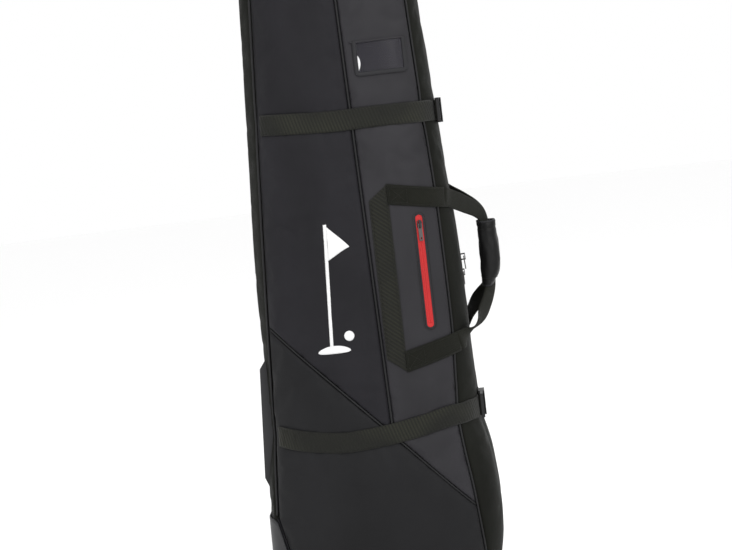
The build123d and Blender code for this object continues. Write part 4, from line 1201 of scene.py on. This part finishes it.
def make_tray():
    q = np.linspace(-2, 2, 260, endpoint=False)
    top = np.full_like(q, LIP_Z)
    for _ in range(60):
        top = 0.5 * top + 0.5 * tray_top(surf(top, q)[:, 0])
    z = lerp(9.0, top, np.linspace(0, 1, 30)[:, None] ** 1.15)
    base = surf(z, q)
    bead = np.exp(-((z - top + 2.2) / 2.2) ** 2) * 0.8
    flare = np.clip((-base[..., 0] - 160) / 40, 0, 1) * 4.5 * np.exp(-((z - 100) / 42) ** 2)
    p, _ = on_skin(z, q, 4.0 + bead + flare, wrap=True)
    floor = [p[0] * np.array([k, k, 1]) - np.array([0, 0, 1.0]) for k in (0.06, 0.4, 0.7, 0.9, 0.97)]
    p = np.concatenate([np.array(floor), p], 0)
    n = normals(p, wrap=True)
    n[:4] = np.array([0, 0, -1.0])
    tray = slab("base_tray", p, n, 3.2, [BASE], wrap=True)
    cut_housings(tray, (50.3, 22.3), (10.5, 31))
    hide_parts("base_tray")
    # cloth behind the slit between the tray's wing and the flap
    z = np.linspace(60, 200, 60)[:, None]
    x = np.interp(z, [58, 118, 182, 188, 200], [-141, -175, -191, -196, -199])
    p, n = on_front(x + np.linspace(-3, 9.5, 6), z + np.zeros(6), -7.0)
    slab("wing_gusset", p, n, 1.0, [FABRIC_SIDE])
    # fabric of the bottom, between the tray's lip and the panels
    edge = np.where(surf(top, q)[:, 1] < 0, top + 4.5, np.minimum(top + 4.5, SKIRT_Z - 1))
    p, n = on_skin(lerp(24.0, edge, np.linspace(0, 1, 14)[:, None]), q, 0, wrap=True)
    p = p - n * 0.6
    floor = [p[0] * np.array([k, k, 1]) for k in (0.06, 0.5, 0.9)]
    p = np.concatenate([np.array(floor), p], 0)
    n = np.concatenate([np.tile([0, 0, -1.0], (3, len(q), 1)), n], 0)
    cloth = slab("bottom_panel", p, n, 3.4, [FABRIC, LINING], wrap=True, skip=in_housing(p))
    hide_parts("bottom_panel")


def make_floor_pad():
    ring, grow = level_ring(30.0, 160)
    # share of the ring's size and height, from the top's middle to the underside's
    profile = [(0.05, 34.5), (0.4, 35), (0.7, 34.6), (0.9, 35.2), (0.96, 34.6),
               (0.985, 32), (0.985, 29), (0.95, 26.6), (0.5, 26.2), (0.05, 26.2)]
    p = np.array([(ring - grow * 7.5) * np.array([s, s, 0]) + np.array([0, 0, h]) for s, h in profile])
    pad = stack("floor_pad", p, [LINING], p[..., :2], "case_body")
    cut_housings(pad, (53, 26))
    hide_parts("floor_pad")


def flat_ribbon(name, points, across, wide, thick, body, count=70, mats=None):
    """A band along points whose width stays parallel to across."""
    line = spline(points, count)
    across = np.tile(np.asarray(across, float), (count, 1))
    out = np.cross(across, unit(np.gradient(line, axis=0)))
    return ribbon(name, line, across, out, wide, thick, mats or [WEBBING], body), line


def whole_handle(half, axis):
    """A handle's points from its low half, which ends in the middle, mirrored along an axis."""
    sign = [-1 if k == axis else 1 for k in range(3)]
    return half + [tuple(np.array(point) * sign) for point in half[-2::-1]]


def make_small_handles():
    top = CASE_TOP + 3.4
    half = [(-78, 0, top - 3.2), (-64, 0, top - 0.4), (-52, 0, top + 20), (-34, 0, top + 28.5),
            (0, 0, top + 29.5)]
    strap, line = flat_ribbon("top_handle_strap", whole_handle(half, 0), (0, 1, 0), 30, 2.0, "case_body")
    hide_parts("top_handle_strap")
    lines = []
    up = np.tile([0, 0, 1.0], (10, 1))
    for end, inward in ((3, 7.0), (-4, -7.0)):
        bar = np.linspace(line[end] + np.array([0, -12, 1.6]), line[end] + np.array([0, 12, 1.6]), 10)
        lines += [(bar, up), (bar + np.array([inward, 0, 1.0]), up)]
    stitches("top_handle_tacks", lines, "case_body")
    ring = np.linspace(0, 2 * math.pi, 40, endpoint=False)
    x = np.linspace(-30, 30, 30)[:, None]
    b = 1 - 0.16 * np.abs(x / 30) ** 6
    y = 17.5 * b * np.sign(np.cos(ring)) * np.abs(np.cos(ring)) ** 0.6
    z = 7.4 * b * np.sign(np.sin(ring)) * np.abs(np.sin(ring)) ** 0.8
    p = np.stack([x + 0 * y, y, top + 29.0 + z], -1)
    grip = stack("top_handle_grip", p, [GRIP], p[..., :2], "case_body")
    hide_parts("top_handle_grip")
    low = 33.0
    wall = float(sizes(low)[0]) + 4.9
    half = [(wall, -72, low), (wall + 0.6, -56, low), (wall + 17, -44, low), (wall + 26, -24, low),
            (wall + 27.5, 0, low)]
    strap, _ = flat_ribbon("foot_handle", whole_handle(half, 1), (0, 0, 1), 24, 2.0, "case_body")
    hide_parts("foot_handle")
    # anchor plates and rivets of the foot handle
    for tag, s in (("front", -1), ("rear", 1)):
        points = [(wall + 1.8, s * y, low) for y in (57, 64, 72)]
        flat_ribbon(f"foot_handle_plate_{tag}", points, (0, 0, 1), 28, 1.8, "case_body", 12,
                    [BASE_DARK])
        bpy.ops.mesh.primitive_uv_sphere_add(segments=20, ring_count=10, radius=0.0042,
                                             location=((wall + 3.4) * MM, s * 65 * MM, low * MM))
        rivet = bpy.context.object
        rivet.name = f"foot_handle_rivet_{tag}"
        rivet.scale = (0.45, 1, 1)
        rivet.data.materials.append(STEEL)
        rivet.data.polygons.foreach_set("use_smooth", [True] * len(rivet.data.polygons))
        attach(rivet, "case_body")


def q_spine_side(z, y):
    """q of the spine-side point with this y."""
    q = -q_at_y(z, -np.abs(y))
    return np.where(y > 0, -2 - q, q)


def make_inside():
    z, y = np.meshgrid(np.linspace(104, 1146, 90), np.linspace(-68, 68, 14), indexing="ij")
    base = surf(z, q_spine_side(z, y))
    n = np.tile(np.array([-1.0, 0, 0]), base.shape[:2] + (1,))
    board = slab("stiffener_board", base - n * 6.2, n, 2.6, [FOAM_BOARD], body="case_body")
    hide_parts("stiffener_board")
    made = []
    for tag, level in (("low", 449), ("high", 839)):
        z, y = np.meshgrid(level + np.linspace(-19, 19, 7), np.linspace(-82, 82, 40), indexing="ij")
        p, n = on_skin(z, q_spine_side(z, y), -9.6)
        made.append(slab(f"inner_strap_{tag}", p, n, 1.8, [WEBBING], uv=np.stack([y, z - level], -1)))
    straps = join("inner_straps", made)
    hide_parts("inner_straps")


def dress_cad():
    """Moulded and metal parts keep their own shape and take these finishes."""
    looks = {
        PLASTIC: "upper_buckle_plug upper_buckle_socket lower_buckle_plug lower_buckle_socket"
                 " inner_buckles",
        BASE: "spine_rails base_skids",
        BASE_DARK: "front_wheel_housing rear_wheel_housing",
        METAL: "upper_slider lower_slider pocket_slider",
        PULLER: "upper_puller lower_puller pocket_puller",
        STEEL: "axle_bolts axle_nuts rail_screws front_wheel_bearings rear_wheel_bearings",
        HUB: "front_wheel_hub rear_wheel_hub",
        TYRE: "front_wheel_tyre rear_wheel_tyre",
    }
    for mat, names in looks.items():
        for name in names.split():
            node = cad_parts[name]
            for s in node.material_slots:
                s.material = mat


# ---------------------------------------------------------------- stage
def make_stage():
    rim = [(16 * math.cos(a), 16 * math.sin(a), -0.0005) for a in np.linspace(0, 2 * math.pi, 65)[:-1]]
    mesh = bpy.data.meshes.new("floor")
    mesh.from_pydata(rim, [], [tuple(range(64))])
    mesh.materials.append(material("floor_white", (0.98, 0.98, 0.98), 0.9))
    floor = bpy.data.objects.new("floor", mesh)
    bpy.context.scene.collection.objects.link(floor)
    world = bpy.data.worlds.new("studio")
    bpy.context.scene.world = world
    world.use_nodes = True
    world.node_tree.nodes["Background"].inputs["Color"].default_value = (1, 1, 1, 1)
    world.node_tree.nodes["Background"].inputs["Strength"].default_value = 1.0
    bpy.context.scene.view_settings.view_transform = "Standard"

    def area(name, place, aim, size, watts):
        data = bpy.data.lights.new(name, "AREA")
        data.shape, data.size, data.size_y, data.energy = "RECTANGLE", size[0], size[1], watts
        obj = bpy.data.objects.new(name, data)
        bpy.context.scene.collection.objects.link(obj)
        obj.location = place
        obj.rotation_euler = (Vector(aim) - Vector(place)).to_track_quat("-Z", "Y").to_euler()

    area("key_right", (1.5, -2.6, 2.0), (0.0, 0.0, 0.75), (1.0, 1.4), 62)
    area("fill_left", (-2.4, -1.6, 1.2), (0, 0, 0.7), (1.2, 2.0), 16)
    area("top_soft", (0.3, -0.6, 3.2), (0, 0, 0.6), (2.0, 2.0), 30)


def make_camera():
    az, roll = math.radians(4.0), math.radians(6.7)
    place = Vector((3.1 * math.sin(az), -3.1 * math.cos(az), 0.88))
    aim = Vector((0.009, 0, 0.60))
    f = (aim - place).normalized()
    r = f.cross(Vector((0, 0, 1))).normalized()
    u = r.cross(f)
    right = r * math.cos(roll) - u * math.sin(roll)
    up = u * math.cos(roll) + r * math.sin(roll)
    data = bpy.data.cameras.new("camera")
    data.sensor_width = 36.0
    data.lens = 36.0 * (aim - place).length / 1.84e-3 / 732
    cam = bpy.data.objects.new("camera", data)
    bpy.context.scene.collection.objects.link(cam)
    m = Matrix((right, up, -f)).transposed().to_4x4()
    m.translation = place
    cam.matrix_world = m
    bpy.context.scene.camera = cam


make_camera()
make_stage()
make_panels()
make_hood()
make_piping()
make_seam_strip()
make_seam_tapes()
make_straps()
for _side, _body, _tag in ((-1, "front_flap", "front"), (1, "case_body", "rear")):
    make_handle(_side, _body, _tag)
    make_grip(_side, _body, _tag)
make_main_zip()
make_pocket()
make_window()
make_emblem()
make_tray()
make_floor_pad()
make_small_handles()
make_inside()
dress_cad()
